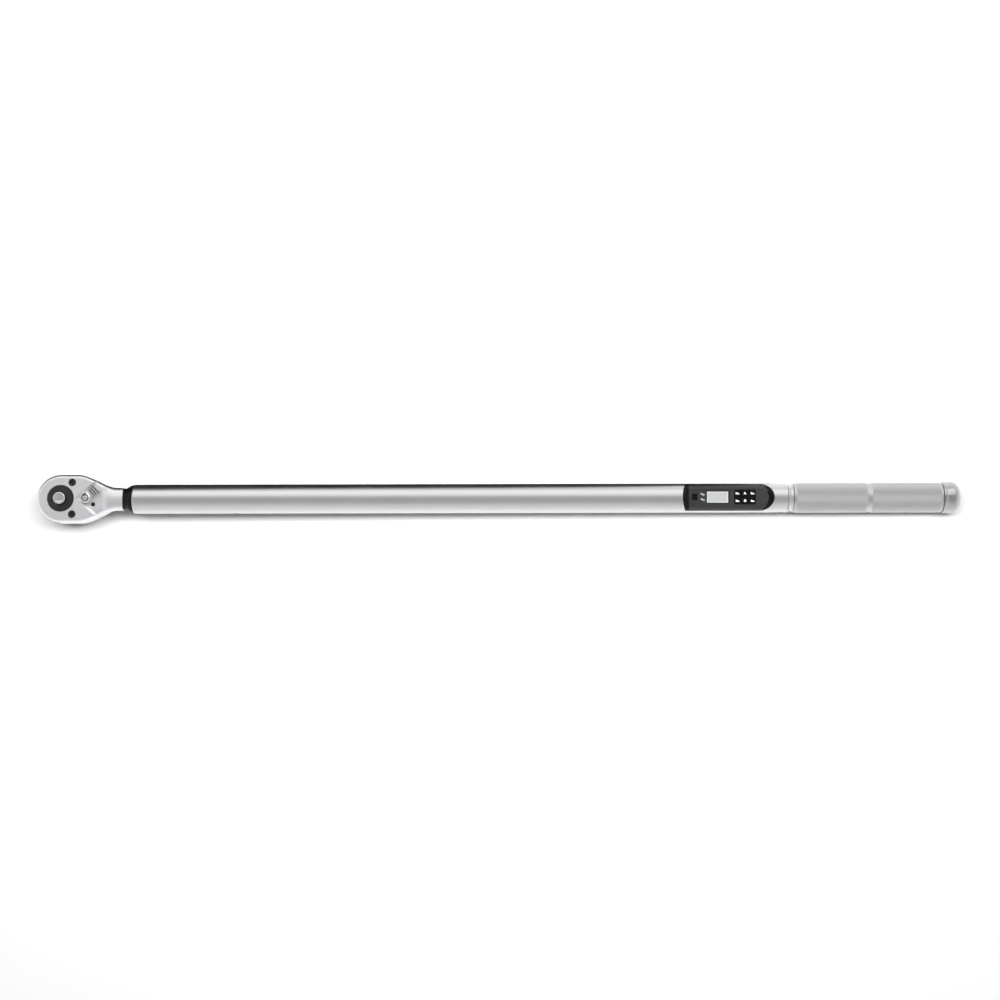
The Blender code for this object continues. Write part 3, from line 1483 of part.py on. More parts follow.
def make_batteries():
    sleeve_in = BATTERY_R + FIT_GAP
    sleeve_out = sleeve_in + BATTERY_SLEEVE
    ring_r = GRIP_BORE_R - FIT_GAP
    ring = 0.004
    end = STACK_END - 0.006
    profile = [
        (sleeve_in, end),
        (ring_r, end),
        (ring_r, end - ring),
        (sleeve_out, end - ring),
        (sleeve_out, SLEEVE_START + ring),
        (ring_r, SLEEVE_START + ring),
        (ring_r, SLEEVE_START),
        (sleeve_in, SLEEVE_START),
    ]
    give_finish(turned_x("battery_tube", profile, ring=True, sides=32), BLACK_PLASTIC)
    nub = BATTERY_R * 0.38
    for i in range(BATTERIES):
        start = STACK_START + i * (BATTERY_LENGTH + FIT_GAP)
        shoulder = start + 0.0015
        profile = [
            (0, start + BATTERY_LENGTH),
            (BATTERY_R - 0.0005, start + BATTERY_LENGTH),
            (BATTERY_R, start + BATTERY_LENGTH - 0.0005),
            (BATTERY_R, shoulder),
            (nub, shoulder),
            (nub, start),
            (0, start),
        ]
        give_finish(turned_x(f"battery_{i + 1}", profile, sides=ROUND_SMALL), BATTERY_GREY)
    contact_x = SLEEVE_START + FIT_GAP
    contact = rod(
        "front_contact",
        BATTERY_R - FIT_GAP,
        (contact_x, 0, AXIS_Z),
        (contact_x + CONTACT_THICK, 0, AXIS_Z),
    )
    give_finish(contact, GOLD_CONTACT)
    insulator_x = ADAPTER_END + FIT_GAP
    insulator = tube_between(
        "contact_insulator", ring_r, 0.003, insulator_x, insulator_x + INSULATOR_THICK, 32
    )
    give_finish(insulator, LIGHT_WHITE)


def make_battery_lead():
    """From the front contact, under the handle's pin and the panel's rear wall, to its plug."""
    low = AXIS_Z - HANDLE_PIN_R - BATTERY_LEAD_R - 2 * FIT_GAP
    high = BOARD_LOW - PLUG_DROP
    rise = PANEL_ROOM_END - 2 * LEAD_R
    points = [(SLEEVE_START, 0.0, AXIS_Z)]
    points += rising_points(ADAPTER_END, HANDLE_PIN_X + 0.006, AXIS_Z, low, 6)
    points.append((ADAPTER_START, 0.0, low))
    points += rising_points(rise, rise - LEAD_RISE / 2, low, high, 8)
    lead = wire("battery_lead", points, BATTERY_LEAD_R)
    plug_x = rise - LEAD_RISE / 2 - FIT_GAP
    plug = block(
        "battery_plug",
        (plug_x - PLUG_LENGTH, -PLUG_HALF, high - PLUG_HALF / 2),
        (plug_x, PLUG_HALF, BOARD_LOW - FIT_GAP),
        FIT_GAP,
    )
    give_finish(lead, BLACK_PLASTIC)
    give_finish(plug, LIGHT_WHITE)


def make_end_cap():
    """A domed cap whose hollow threaded spigot screws into the grip."""
    cap_r = CAP_OD / 2
    dome = CAP_LENGTH * 0.46
    dome_start = CAP_END - dome
    spigot_r = THREAD_R - FIT_GAP
    groove_r = spigot_r - 2 * CAP_SEAL_R
    floor = CAP_START + 0.004
    profile = [(0, CAP_END)]
    for i in range(1, 6):
        angle = math.radians(90) * i / 6
        profile.append((cap_r * math.sin(angle), dome_start + dome * math.cos(angle)))
    profile += [
        (cap_r, dome_start),
        (cap_r, CAP_START + 0.0006),
        (cap_r - 0.0006, CAP_START),
        (groove_r, CAP_START),
        (groove_r, CAP_START - 2.4 * CAP_SEAL_R),
        (spigot_r, CAP_START - 2.4 * CAP_SEAL_R),
        (spigot_r, SPIGOT_START),
        (CAP_WELL_R + FIT_GAP, SPIGOT_START),
        (CAP_WELL_R + FIT_GAP, floor),
        (0, floor),
    ]
    give_finish(turned_x("end_cap", profile), BRIGHT_CHROME)
    seal_middle = CAP_START - 1.2 * CAP_SEAL_R
    ring = [
        (groove_r + FIT_GAP / 3 + CAP_SEAL_R + r, seal_middle + x)
        for r, x in arc((0, 0), CAP_SEAL_R * 0.9, math.pi / 2, -3 * math.pi / 2, 6)[:-1]
    ]
    give_finish(turned_x("cap_seal", ring, ring=True), RUBBER)


def make_cap_contact():
    disc_x = CONTACT_DISC_X
    disc = rod(
        "contact_disc",
        CAP_WELL_R,
        (disc_x, 0, AXIS_Z),
        (disc_x + 0.0016, 0, AXIS_Z),
        32,
    )
    give_finish(disc, GOLD_CONTACT)
    wire_r = 0.0005
    start = STACK_END + wire_r + FIT_GAP
    length = disc_x - start - wire_r - FIT_GAP
    points = coil_points(BATTERY_R * 0.5, length, 3, BATTERY_R)
    spring = wire("contact_spring", points, wire_r, (start, 0, AXIS_Z), ALONG_X)
    give_finish(spring, SPRING_STEEL)


def main():
    make_head_body()
    make_drive_cover()
    make_cover_screws()
    make_drive_gear()
    make_release_button()
    make_release_spring()
    make_detent_ball()
    make_pawl()
    make_pawl_pin()
    make_reverse_lever()
    make_lever_fittings()
    make_neck_collar()
    make_front_bush()
    make_main_tube()
    make_torque_beam()
    make_pins()
    make_strain_gauges()
    make_gauge_lead()
    make_display_housing()
    make_display()
    make_keys()
    make_board()
    make_handle_adapter()
    make_grip_sleeve()
    make_batteries()
    make_battery_lead()
    make_end_cap()
    make_cap_contact()


main()
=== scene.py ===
# %% [markdown]
# # A long electronic torque wrench
#
# This lesson dresses an engineered frame. The frame holds every solid of the wrench in its real
# place and size, with its joints. We build finer pieces over the ones you can see, give every
# piece a finish made of nodes, and set up a plain studio. All lengths are in metres, X runs from
# the drive to the end cap, and Z points up from the drive square to the display.

# %% Load the frame
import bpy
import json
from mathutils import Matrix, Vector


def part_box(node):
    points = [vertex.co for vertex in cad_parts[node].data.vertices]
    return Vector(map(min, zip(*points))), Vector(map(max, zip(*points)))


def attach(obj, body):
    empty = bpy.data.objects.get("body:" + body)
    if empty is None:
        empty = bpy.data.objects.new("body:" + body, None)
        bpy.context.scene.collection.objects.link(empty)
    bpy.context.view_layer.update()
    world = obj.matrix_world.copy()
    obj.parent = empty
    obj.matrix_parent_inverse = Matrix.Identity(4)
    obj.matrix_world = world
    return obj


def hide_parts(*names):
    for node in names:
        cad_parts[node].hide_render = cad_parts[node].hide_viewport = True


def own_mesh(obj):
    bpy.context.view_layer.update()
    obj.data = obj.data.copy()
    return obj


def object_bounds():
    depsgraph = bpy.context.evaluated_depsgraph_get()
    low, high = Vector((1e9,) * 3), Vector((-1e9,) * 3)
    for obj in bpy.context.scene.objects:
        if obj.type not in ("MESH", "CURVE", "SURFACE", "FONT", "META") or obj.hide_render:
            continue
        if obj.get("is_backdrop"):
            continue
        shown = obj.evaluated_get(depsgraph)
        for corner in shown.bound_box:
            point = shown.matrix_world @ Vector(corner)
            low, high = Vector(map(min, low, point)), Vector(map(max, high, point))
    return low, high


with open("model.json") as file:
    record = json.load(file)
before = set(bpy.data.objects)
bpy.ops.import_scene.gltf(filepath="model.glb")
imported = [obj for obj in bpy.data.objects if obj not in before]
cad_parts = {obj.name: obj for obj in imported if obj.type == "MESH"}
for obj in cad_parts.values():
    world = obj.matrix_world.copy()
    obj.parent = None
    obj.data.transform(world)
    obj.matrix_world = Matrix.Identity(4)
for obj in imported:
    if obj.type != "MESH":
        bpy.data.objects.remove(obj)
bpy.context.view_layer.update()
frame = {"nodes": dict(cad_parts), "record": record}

# %% [markdown]
# ## Measuring before making
#
# A maker measures the part that the new one has to fit. Here the frame's own boxes give the
# wrench's axis, the tube's radius and where each piece begins and ends, so nothing is guessed
# twice. The other tools come from Blender and from Python's standard library.

# %% Measure the frame
import json
import math

import bmesh
import bpy
from mathutils import Matrix, Vector

mm = 0.001
FULL = 2 * math.pi


def span(node, axis):
    """Where a solid of the frame starts and ends along an axis."""
    low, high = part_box(node)
    return low[axis], high[axis]


def middle(node):
    low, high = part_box(node)
    return (low + high) / 2


X, Y, Z = 0, 1, 2
tube_start, tube_end = span("main_tube", X)
tube_low, tube_top = span("main_tube", Z)
axis_z = (tube_low + tube_top) / 2
tube_r = (tube_top - tube_low) / 2
print(f"tube: radius {tube_r / mm:.2f} mm, {(tube_end - tube_start) / mm:.0f} mm long")

# %% [markdown]
# ## Tools for turning, pressing and cutting
#
# Nearly everything on a wrench is turned on a lathe, cut from plate, or milled. So four small
# tools make almost all of it: one welds points and faces into an object, one turns a profile
# round an axis, one raises a rounded slab from an outline, and one cuts with Booleans. Faces are
# shaded smooth, and only real corners stay sharp.

# %% Weld points and faces into an object
NORMAL_CORNER = math.radians(32)
SAME_POINT = 0.0005 * mm


def ease(share):
    """0 to 1 with a soft start and end, held beyond them."""
    share = min(max(share, 0.0), 1.0)
    return share * share * (3 - 2 * share)


def shade(obj, corner=NORMAL_CORNER):
    """Smooth shading that breaks at corners sharper than this angle."""
    obj.data.shade_smooth()
    obj.data.set_sharp_from_angle(angle=corner)
    return obj


def weld(name, points, faces, corner=NORMAL_CORNER):
    """One object from points and faces; doubled points are joined and every face turned out."""
    mesh = bpy.data.meshes.new(name)
    mesh.from_pydata([tuple(p) for p in points], [], faces)
    work = bmesh.new()
    work.from_mesh(mesh)
    bmesh.ops.remove_doubles(work, verts=work.verts, dist=SAME_POINT)
    bmesh.ops.dissolve_degenerate(work, edges=work.edges, dist=SAME_POINT)
    bmesh.ops.recalc_face_normals(work, faces=work.faces)
    if work.calc_volume(signed=True) < 0:
        bmesh.ops.reverse_faces(work, faces=work.faces)
    work.to_mesh(mesh)
    work.free()
    obj = bpy.data.objects.new(name, mesh)
    bpy.context.scene.collection.objects.link(obj)
    return shade(obj, corner)


print("welding tool ready")


# %% Turn a profile, and join rings of points
RING_START = 0.37  # of a step


def between_rings(rings, closed):
    """Four-sided faces between rings of equal length; closed joins the last ring to the first."""
    count = len(rings[0])
    faces = []
    for i in range(len(rings) if closed else len(rings) - 1):
        j = (i + 1) % len(rings)
        for k in range(count):
            n = (k + 1) % count
            faces.append((i * count + k, i * count + n, j * count + n, j * count + k))
    return faces


def ring_points(radius, along, sides, centre, axis):
    """Points round an axis; the odd start keeps them off the flat cuts made later."""
    points = []
    for k in range(sides):
        a = FULL * (k + RING_START) / sides
        c, s = radius * math.cos(a), radius * math.sin(a)
        spot = {X: (along, c, s), Y: (c, along, s), Z: (c, s, along)}[axis]
        points.append(tuple(spot[i] + centre[i] for i in range(3)))
    return points


def turned(name, profile, axis=Z, centre=(0, 0, 0), sides=96):
    """Turns (radius, along) pairs; a profile that starts and ends at radius 0 is solid."""
    solid = profile[0][0] == 0 and profile[-1][0] == 0
    rings = [ring_points(r, along, sides, centre, axis) for r, along in profile]
    points = [p for ring in rings for p in ring]
    return weld(name, points, between_rings(rings, not solid))


def turned_x(name, profile, sides=128):
    """Turned round the tube's axis."""
    return turned(name, profile, X, (0, 0, axis_z), sides)


def in_mm(*pairs):
    """Pairs written in millimetres, as metres."""
    return [(a * mm, b * mm) for a, b in pairs]


def rod(start, end, radius):
    """The profile of a plain rod, in millimetres."""
    return in_mm((0, start), (radius, start), (radius, end), (0, end))


print("turning tool ready")


# %% Raise a slab from an outline
def inset(outline, amounts):
    """The outline moved inward; amounts gives each edge's own distance."""
    count = len(outline)
    sides = []
    for i in range(count):
        a, b = Vector(outline[i]), Vector(outline[(i + 1) % count])
        run = (b - a).normalized()
        inward = Vector((-run.y, run.x))
        sides.append((a + inward * amounts[i], run))
    moved = []
    for i in range(count):
        (p, run_in), (q, run_out) = sides[i - 1], sides[i]
        cross = run_in.x * run_out.y - run_in.y * run_out.x
        if abs(cross) < 1e-5:
            moved.append((p + run_in * (Vector(outline[i]) - p).dot(run_in)).to_tuple())
            continue
        gap = q - p
        t = (gap.x * run_out.y - gap.y * run_out.x) / cross
        moved.append((p + run_in * t).to_tuple())
    return moved


def stack(name, layers):
    """A solid through (outline, height) layers of equal length, closed at both ends."""
    points = [(x, y, z) for outline, z in layers for x, y in outline]
    count = len(layers[0][0])
    faces = []
    for i in range(len(layers) - 1):
        for k in range(count):
            n = (k + 1) % count
            low, high = i * count, (i + 1) * count
            faces.append((low + k, low + n, high + n, high + k))
    faces.append(tuple(reversed(range(count))))
    faces.append(tuple(range((len(layers) - 1) * count, len(layers) * count)))
    return weld(name, points, faces)


def slab(name, outline, low, high, over=0.0, under=0.0, steps=4):
    """An outline, anticlockwise, raised from low to high, its edges rounded over and under."""
    layers = []
    for i in range(steps if under else 0):
        t = math.radians(90) * i / steps
        depth = under * (1 - math.sin(t))
        layers.append((inset(outline, [depth] * len(outline)), low + under * (1 - math.cos(t))))
    layers.append((outline, low + under))
    layers.append((outline, high - over))
    for i in range(1, steps + 1 if over else 0):
        t = math.radians(90) * i / steps
        depth = over * (1 - math.cos(t))
        layers.append((inset(outline, [depth] * len(outline)), high - over + over * math.sin(t)))
    return stack(name, layers)


def arc(centre, radius, start, end, steps):
    """Points along part of a circle, from one angle to another."""
    points = []
    for i in range(steps + 1):
        a = start + (end - start) * i / steps
        points.append((centre[0] + radius * math.cos(a), centre[1] + radius * math.sin(a)))
    return points


def round_box(centre, size, corner, steps=5):
    """A rectangle with round corners, anticlockwise."""
    half_x, half_y = size[0] / 2 - corner, size[1] / 2 - corner
    points = []
    for i, (sx, sy) in enumerate(((1, -1), (1, 1), (-1, 1), (-1, -1))):
        start = math.radians(-90 + 90 * i)
        spot = (centre[0] + sx * half_x, centre[1] + sy * half_y)
        points += arc(spot, corner, start, start + math.radians(90), steps)
    return points


print("slab tool ready")


# %% Cut and join
def settle(obj):
    """Makes an object's modifiers real, so that later steps see plain faces."""
    bpy.context.view_layer.update()
    seen = obj.evaluated_get(bpy.context.evaluated_depsgraph_get())
    made = bpy.data.meshes.new_from_object(seen)
    obj.modifiers.clear()
    obj.data = made
    return shade(obj)


def boolean(obj, tools, operation):
    for tool in tools:
        step = obj.modifiers.new(tool.name, "BOOLEAN")
        step.operation = operation
        step.solver = "MANIFOLD"
        step.object = tool
    settle(obj)
    for tool in tools:
        bpy.data.objects.remove(tool)
    return obj


def cut(obj, *tools):
    return boolean(obj, tools, "DIFFERENCE")


def fuse(obj, *tools):
    return boolean(obj, tools, "UNION")


def keep(obj, *tools):
    return boolean(obj, tools, "INTERSECT")


def even(obj):
    """Lets the larger faces decide how light falls across the edges between them."""
    smooth = obj.modifiers.new("even shading", "WEIGHTED_NORMAL")
    smooth.keep_sharp = True
    return settle(obj)


def pillar(radius, centre, low, high, sides=48, flare=0.0):
    """A round cutter; flare widens its top by that much, for a chamfered hole."""
    profile = [(0, low), (radius, low)]
    above = 4 * mm
    if flare:
        profile += [(radius, high - flare), (radius + flare + above, high + above)]
        profile.append((0, high + above))
    else:
        profile += [(radius, high), (0, high)]
    return turned("cutter", profile, Z, (centre[0], centre[1], 0), sides)


def beam(low, high):
    """A rectangular cutter between two corners."""
    outline = [(low[0], low[1]), (high[0], low[1]), (high[0], high[1]), (low[0], high[1])]
    return stack("cutter", [(outline, low[2]), (outline, high[2])])


print("cutting tools ready")

# %% [markdown]
# ## Fitting pieces to the frame
#
# Every piece that we make stands for a solid of the frame: it hides that solid, rides on the same
# body, so that it moves with it, and wears the finish that we give it.

# %% Fit a piece
slot_of = {s["node"]: s["material_slot"] for s in frame["record"]["subparts"]}
body_of = {n: b for b, ns in frame["record"]["behaviour"]["bodies"].items() for n in ns}
dressed = set()


def wear(obj, finish):
    obj.data.materials.clear()
    obj.data.materials.append(finish)
    return obj


def stand_for(obj, node, finish):
    """The piece takes the place of this solid of the frame, and wears this finish."""
    wear(obj, finish)
    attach(obj, body_of[node])
    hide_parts(node)
    dressed.add(node)
    print(f"{obj.name}: {len(obj.data.polygons)} faces")
    return obj


def fit(obj, node, finish):
    return stand_for(even(obj), node, finish)


def paint(obj, finish, chosen):
    """Gives a second finish to the faces whose centre and normal pass a test."""
    obj.data.materials.append(finish)
    for face in obj.data.polygons:
        if chosen(face.center, face.normal):
            face.material_index = 1


def add_on(obj, node, finish):
    """A small extra that rides with the same body as this solid."""
    wear(obj, finish)
    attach(obj, body_of[node])
    return obj


print("slots:", len(set(slot_of.values())))

# %% [markdown]
# ## Shader maths as Python
#
# A finish is a recipe: colour, roughness and fine relief, each changing a little over the
# surface. Writing that recipe as sums is easier to read than wiring boxes. The class Amount wraps
# a node's output, so that a sum on it adds Math nodes. Recipe holds a tree of nodes and the one
# method that adds any other node, and Finish is a recipe for a material.

# %% Amount, Recipe and Finish
class Amount:
    """A number that changes over a surface."""

    def __init__(self, finish, socket):
        self.finish = finish
        self.socket = socket

    def work(self, operation, first, second):
        return self.finish.add("ShaderNodeMath", {"operation": operation}, {0: first, 1: second})

    def __add__(self, other):
        return self.work("ADD", self, other)

    __radd__ = __add__

    def __mul__(self, other):
        return self.work("MULTIPLY", self, other)

    __rmul__ = __mul__

    def __sub__(self, other):
        return self.work("SUBTRACT", self, other)

    def __rsub__(self, other):
        return self.work("SUBTRACT", other, self)

    def __lt__(self, other):
        return self.work("LESS_THAN", self, other)


def grey(value, blue=1.0):
    return (value, value, value * blue, 1)


class Recipe:
    """The nodes of a material or a world, and the method that adds them."""

    def __init__(self, owner):
        owner.use_nodes = True
        self.tree = owner.node_tree
        self.tree.nodes.clear()

    def add(self, kind, settings=None, inputs=None, output=0):
        """A node of this type: its settings first, then the values or links of its sockets."""
        node = self.tree.nodes.new(kind)
        for key, value in (settings or {}).items():
            if key == "stops":
                stops = node.color_ramp.elements
                for i, (place, level) in enumerate(value):
                    stop = stops[i] if i < 2 else stops.new(place)
                    stop.position = place
                    stop.color = grey(level)
            else:
                setattr(node, key, value)
        for key, value in (inputs or {}).items():
            if isinstance(value, Amount):
                self.tree.links.new(value.socket, node.inputs[key])
            else:
                node.inputs[key].default_value = value
        return Amount(self, node.outputs[output]) if len(node.outputs) else None


class Finish(Recipe):
    """One material's recipe."""

    def __init__(self, name):
        self.material = bpy.data.materials.new(name)
        super().__init__(self.material)
        self.spot = self.add("ShaderNodeTexCoord", output="Object")

    def stretched(self, scale):
        """The place on the object, squeezed or stretched, so that a noise turns into strokes."""
        return self.add("ShaderNodeMapping", None, {"Vector": self.spot, "Scale": scale})

    def noise(self, place, scale=1.0, detail=3.0, rough=0.55):
        given = {"Vector": place, "Scale": scale, "Detail": detail, "Roughness": rough}
        return self.add("ShaderNodeTexNoise", None, given)

    def ramp(self, amount, *stops):
        return self.add("ShaderNodeValToRGB", {"stops": stops}, {"Fac": amount})

    def blend(self, share, first, second):
        """One colour into another, by an amount from 0 to 1."""
        given = {0: share, 6: first, 7: second}
        settings = {"data_type": "RGBA", "clamp_factor": True}
        return self.add("ShaderNodeMix", settings, given, output=2)

    def relief(self, height, depth, strength=1.0):
        given = {"Height": height, "Distance": depth, "Strength": strength}
        return self.add("ShaderNodeBump", None, given)

    def done(self, **given):
        names = {key.replace("_", " ").title().replace("Ior", "IOR"): v for key, v in given.items()}
        surface = self.add("ShaderNodeBsdfPrincipled", None, names)
        self.add("ShaderNodeOutputMaterial", None, {"Surface": surface})
        return self.material


print("finish tools ready")

# %% [markdown]
# ## Metals
#
# All the steel here has been worked by some tool, and its marks tell which: the head and tube
# were belted lengthwise, turned pieces carry rings, and chrome is smooth with the odd wipe mark.
# One recipe covers them. Strokes come from noise squeezed hard across the direction of work;
# they change roughness, tint and relief together, because the same scratch does all three.

# %% Worked metal
def worked_metal(name, tint, rough, strokes, depth=0.004 * mm, cloud=0.06, vary=0.12):
    """Bare or plated metal with fine strokes; strokes is noise per metre along X, Y and Z."""
    f = Finish(name)
    fine = f.noise(f.stretched(strokes), detail=2.0)
    broad = f.noise(f.stretched(tuple(s / 6 for s in strokes)), detail=1.0)
    smudge = f.noise(f.spot, 22, 4.0)
    mark = fine * 0.65 + broad * 0.35
    dull = tuple(c * (1 - 2 * cloud) for c in tint[:3]) + (1,)
    colour = f.blend(mark * 0.5 + smudge * 0.5, dull, tint)
    wiped = (mark - 0.5) * vary + (smudge - 0.5) * (vary * 0.8) + rough
    normal = f.relief(mark, depth, 0.5)
    return f.done(base_color=colour, metallic=1.0, roughness=wiped, normal=normal)


LENGTHWISE = (6, 1400, 1400)
ROUND_X = (1800, 10, 10)
satin_head = worked_metal("satin_head", grey(0.9, 1.02), 0.42, (14, 1500, 500))
satin_tube = worked_metal("satin_tube", grey(0.68, 1.015), 0.33, LENGTHWISE)
satin_grip = worked_metal("satin_grip", grey(0.60, 1.02), 0.4, (500, 500, 500))
polish = 0.001 * mm
cap_chrome = worked_metal("cap_chrome", grey(0.5), 0.2, (300, 300, 300), polish, 0.04, 0.08)
bright_chrome = worked_metal("bright_chrome", grey(0.78), 0.1, (400, 400, 400), polish, 0.02, 0.06)
turned_aluminium = worked_metal("turned_aluminium", grey(0.66, 1.01), 0.32, ROUND_X)
ground_steel = worked_metal("ground_steel", grey(0.5), 0.34, (900, 900, 60))
spring_wire = worked_metal("spring_wire", grey(0.42, 0.98), 0.28, (300, 300, 300))
gold_plate = worked_metal("gold_plate", (0.83, 0.62, 0.28, 1), 0.27, ROUND_X)
print("metals:", len([m for m in bpy.data.materials if m.use_nodes]))

# %% [markdown]
# Some metals need more. The hub and screws are phosphated: a dark, slightly rough crystal coat
# that rubs bright on high spots. Bearing bronze is pressed powder, so it is speckled with pores.

# %% Phosphated steel and bearing bronze
def phosphated(name):
    f = Finish(name)
    crystals = f.noise(f.spot, 2600, 2.0)
    cloud = f.noise(f.spot, 160, 4.0)
    rubbed = f.ramp(cloud * 0.7 + crystals * 0.3, (0.55, 0.0), (0.78, 1.0))
    colour = f.blend(rubbed * 0.5, grey(0.035, 1.08), grey(0.11, 1.05))
    rough = 0.42 + (crystals - 0.5) * 0.25 - rubbed * 0.08
    normal = f.relief(crystals, 0.01 * mm, 0.6)
    return f.done(base_color=colour, metallic=0.75, roughness=rough, normal=normal)


def pressed_bronze(name):
    f = Finish(name)
    pores = f.add("ShaderNodeTexVoronoi", None, {"Vector": f.spot, "Scale": 1500})
    dark = f.ramp(pores, (0.12, 1.0), (0.3, 0.0))
    colour = f.blend(dark * 0.7, (0.52, 0.31, 0.13, 1), (0.12, 0.07, 0.03, 1))
    normal = f.relief(1 - dark, 0.03 * mm, 0.7)
    return f.done(base_color=colour, metallic=0.9, roughness=dark * 0.3 + 0.42, normal=normal)


black_steel = phosphated("black_steel")
bearing_bronze = pressed_bronze("bearing_bronze")
print("dark steel and bronze ready")

# %% [markdown]
# ## Plastics, rubber and the rest
#
# Moulded plastic carries the spark-eroded grain of its mould, rubber a softer one. Both are cells
# of a few tenths of a millimetre. Their colour hardly moves, but their sheen does, which is what
# keeps black parts from looking like holes.

# %% Moulded plastics and rubber
def moulded(name, colour, rough, grain=2200, depth=0.02 * mm, dust=0.35, sheen_level=0.5):
    f = Finish(name)
    given = {"Vector": f.spot, "Scale": grain}
    cells = f.add("ShaderNodeTexVoronoi", {"feature": "SMOOTH_F1"}, given)
    cloud = f.noise(f.spot, 90, 4.0)
    lighter = tuple(min(1.0, c * (1 + dust) + 0.004) for c in colour[:3]) + (1,)
    tone = f.blend(cloud * 0.7 + cells * 0.3, colour, lighter)
    sheen = rough + (cloud - 0.5) * 0.14 + (cells - 0.5) * 0.1
    normal = f.relief(cells, depth, 0.5)
    return f.done(base_color=tone, roughness=sheen, normal=normal, specular_ior_level=sheen_level)


black_plastic = moulded("black_plastic", grey(0.02, 1.05), 0.42, sheen_level=0.35)
collar_plastic = moulded("collar_plastic", grey(0.004, 1.05), 0.3, 1500, dust=0.2, sheen_level=0.12)
black_rubber = moulded("black_rubber", grey(0.012), 0.6, 1200, 0.03 * mm)
key_gloss_and_shade = moulded("key_gloss_and_shade", grey(0.003), 0.2, 900, 0.002 * mm, 0.2, 0.12)
light_lens = moulded("light_lens", grey(0.34), 0.3, 900, 0.003 * mm, 0.1)
wire_sleeve = moulded("wire_sleeve", grey(0.02), 0.4, 700)
white_plastic = moulded("white_plastic", grey(0.78, 0.97), 0.3, 1400, 0.004 * mm, 0.08)
icon_paint = moulded("icon_paint", grey(0.86), 0.4, 3000, 0.003 * mm, 0.05)
battery_sleeve = moulded("battery_sleeve", grey(0.1, 1.1), 0.25, 500, 0.003 * mm)
print("plastics ready")

# %% [markdown]
# A few finishes are drawn rather than worn. The display is a grey panel with a pale border and
# faint cells. The window over it is nearly clear: it mirrors the room more at a slant, which is
# what a Fresnel mix does. The circuit board has a solder mask with tracks under it, and the
# strain gauges are amber film with a fine metal grid.

# %% Display, window, board and film
def grid_lines(f, place, part, width):
    """1 on thin lines a step apart along one axis, 0 between them."""
    axes = f.add("ShaderNodeSeparateXYZ", None, {"Vector": place}, output=part)
    return f.add("ShaderNodeMath", {"operation": "FRACT"}, {0: axes}) < width


def display_grey():
    f = Finish("display_grey")
    moved = {"Vector": f.spot, "Location": tuple(-middle("lcd_panel"))}
    local = f.add("ShaderNodeMapping", None, moved)
    away = []
    crisp = 4000  # how fast the border starts
    for part, half in ((X, 12.6 * mm), (Y, 6.2 * mm)):
        side = f.add("ShaderNodeSeparateXYZ", None, {"Vector": local}, output=part)
        size = f.add("ShaderNodeMath", {"operation": "ABSOLUTE"}, {0: side})
        away.append((size - half) * crisp)
    larger = {"operation": "MAXIMUM", "use_clamp": True}
    border = f.add("ShaderNodeMath", larger, {0: away[0], 1: away[1]})
    cells = f.stretched((700, 700, 700))
    lines = (grid_lines(f, cells, X, 0.1) + grid_lines(f, cells, Y, 0.1)) * 0.12
    cloud = f.noise(f.spot, 60, 2.0)
    glass = f.blend(lines + cloud * 0.25, (0.5, 0.495, 0.5, 1), (0.4, 0.395, 0.4, 1))
    colour = f.blend(border, glass, grey(0.9))
    normal = f.relief(lines, 0.005 * mm, 0.3)
    return f.done(base_color=colour, roughness=0.3 + cloud * 0.1, normal=normal)


def clear_window():
    f = Finish("clear_window")
    smear = f.noise(f.spot, 120, 3.0)
    clear = f.add("ShaderNodeBsdfTransparent", None, {"Color": (0.96, 0.97, 0.96, 1)})
    given = {"Color": grey(0.95), "Roughness": smear * 0.05 + 0.02}
    shine = f.add("ShaderNodeBsdfGlossy", None, given)
    edge = f.add("ShaderNodeFresnel", None, {"IOR": 1.3})
    both = f.add("ShaderNodeMixShader", None, {0: edge, 1: clear, 2: shine})
    f.add("ShaderNodeOutputMaterial", None, {"Surface": both})
    return f.material


def circuit_green():
    f = Finish("circuit_green")
    place = f.stretched((420, 420, 420))
    rows = {"offset": 0.37, "squash": 0.6}
    bent = f.add("ShaderNodeTexBrick", rows, {"Vector": place, "Scale": 1.0}, output=1)
    tracks = f.ramp(bent, (0.4, 0.0), (0.6, 1.0))
    pads = f.add("ShaderNodeTexVoronoi", None, {"Vector": place, "Scale": 0.6})
    dots = pads < 0.12
    mask = f.blend(tracks * 0.8, (0.012, 0.12, 0.045, 1), (0.03, 0.24, 0.09, 1))
    colour = f.blend(dots, mask, (0.62, 0.6, 0.55, 1))
    normal = f.relief(tracks + dots, 0.03 * mm, 0.6)
    rough = 0.4 - dots * 0.12
    return f.done(base_color=colour, metallic=dots * 0.9, roughness=rough, normal=normal)


def foil_amber():
    f = Finish("foil_amber")
    grid = grid_lines(f, f.stretched((900, 900, 900)), Z, 0.45)
    colour = f.blend(grid, (0.62, 0.3, 0.05, 1), (0.4, 0.32, 0.22, 1))
    normal = f.relief(grid, 0.01 * mm, 0.5)
    rough = 0.35 - grid * 0.08
    return f.done(base_color=colour, metallic=grid * 0.7, roughness=rough, normal=normal)


lcd_finish, window_finish = display_grey(), clear_window()
board_finish, gauge_finish = circuit_green(), foil_amber()
print("finishes made:", len(bpy.data.materials))

# %% [markdown]
# ## The head
#
# The head is a steel forging: a round nose over the ratchet, shoulders that draw in to a neck,
# and a shank that goes into the tube. Its section changes all along, so we walk along its outline
# and set up a section at each station: two sides with rounded edges, and a top and underside
# across. Then a plate with a V cut out of it is laid on the nose; that step marks the side
# from which the wrench is read.

# %% Sections along the head
nose_r = -span("head_body", X)[0]
head_low, head_top = span("head_body", Z)
floor_z = head_top - 3.5 * mm  # behind the V
neck_half, neck_end = 14.7 * mm, 79 * mm
head_edge = 4.8 * mm
side_steps, across_steps = 6, 10


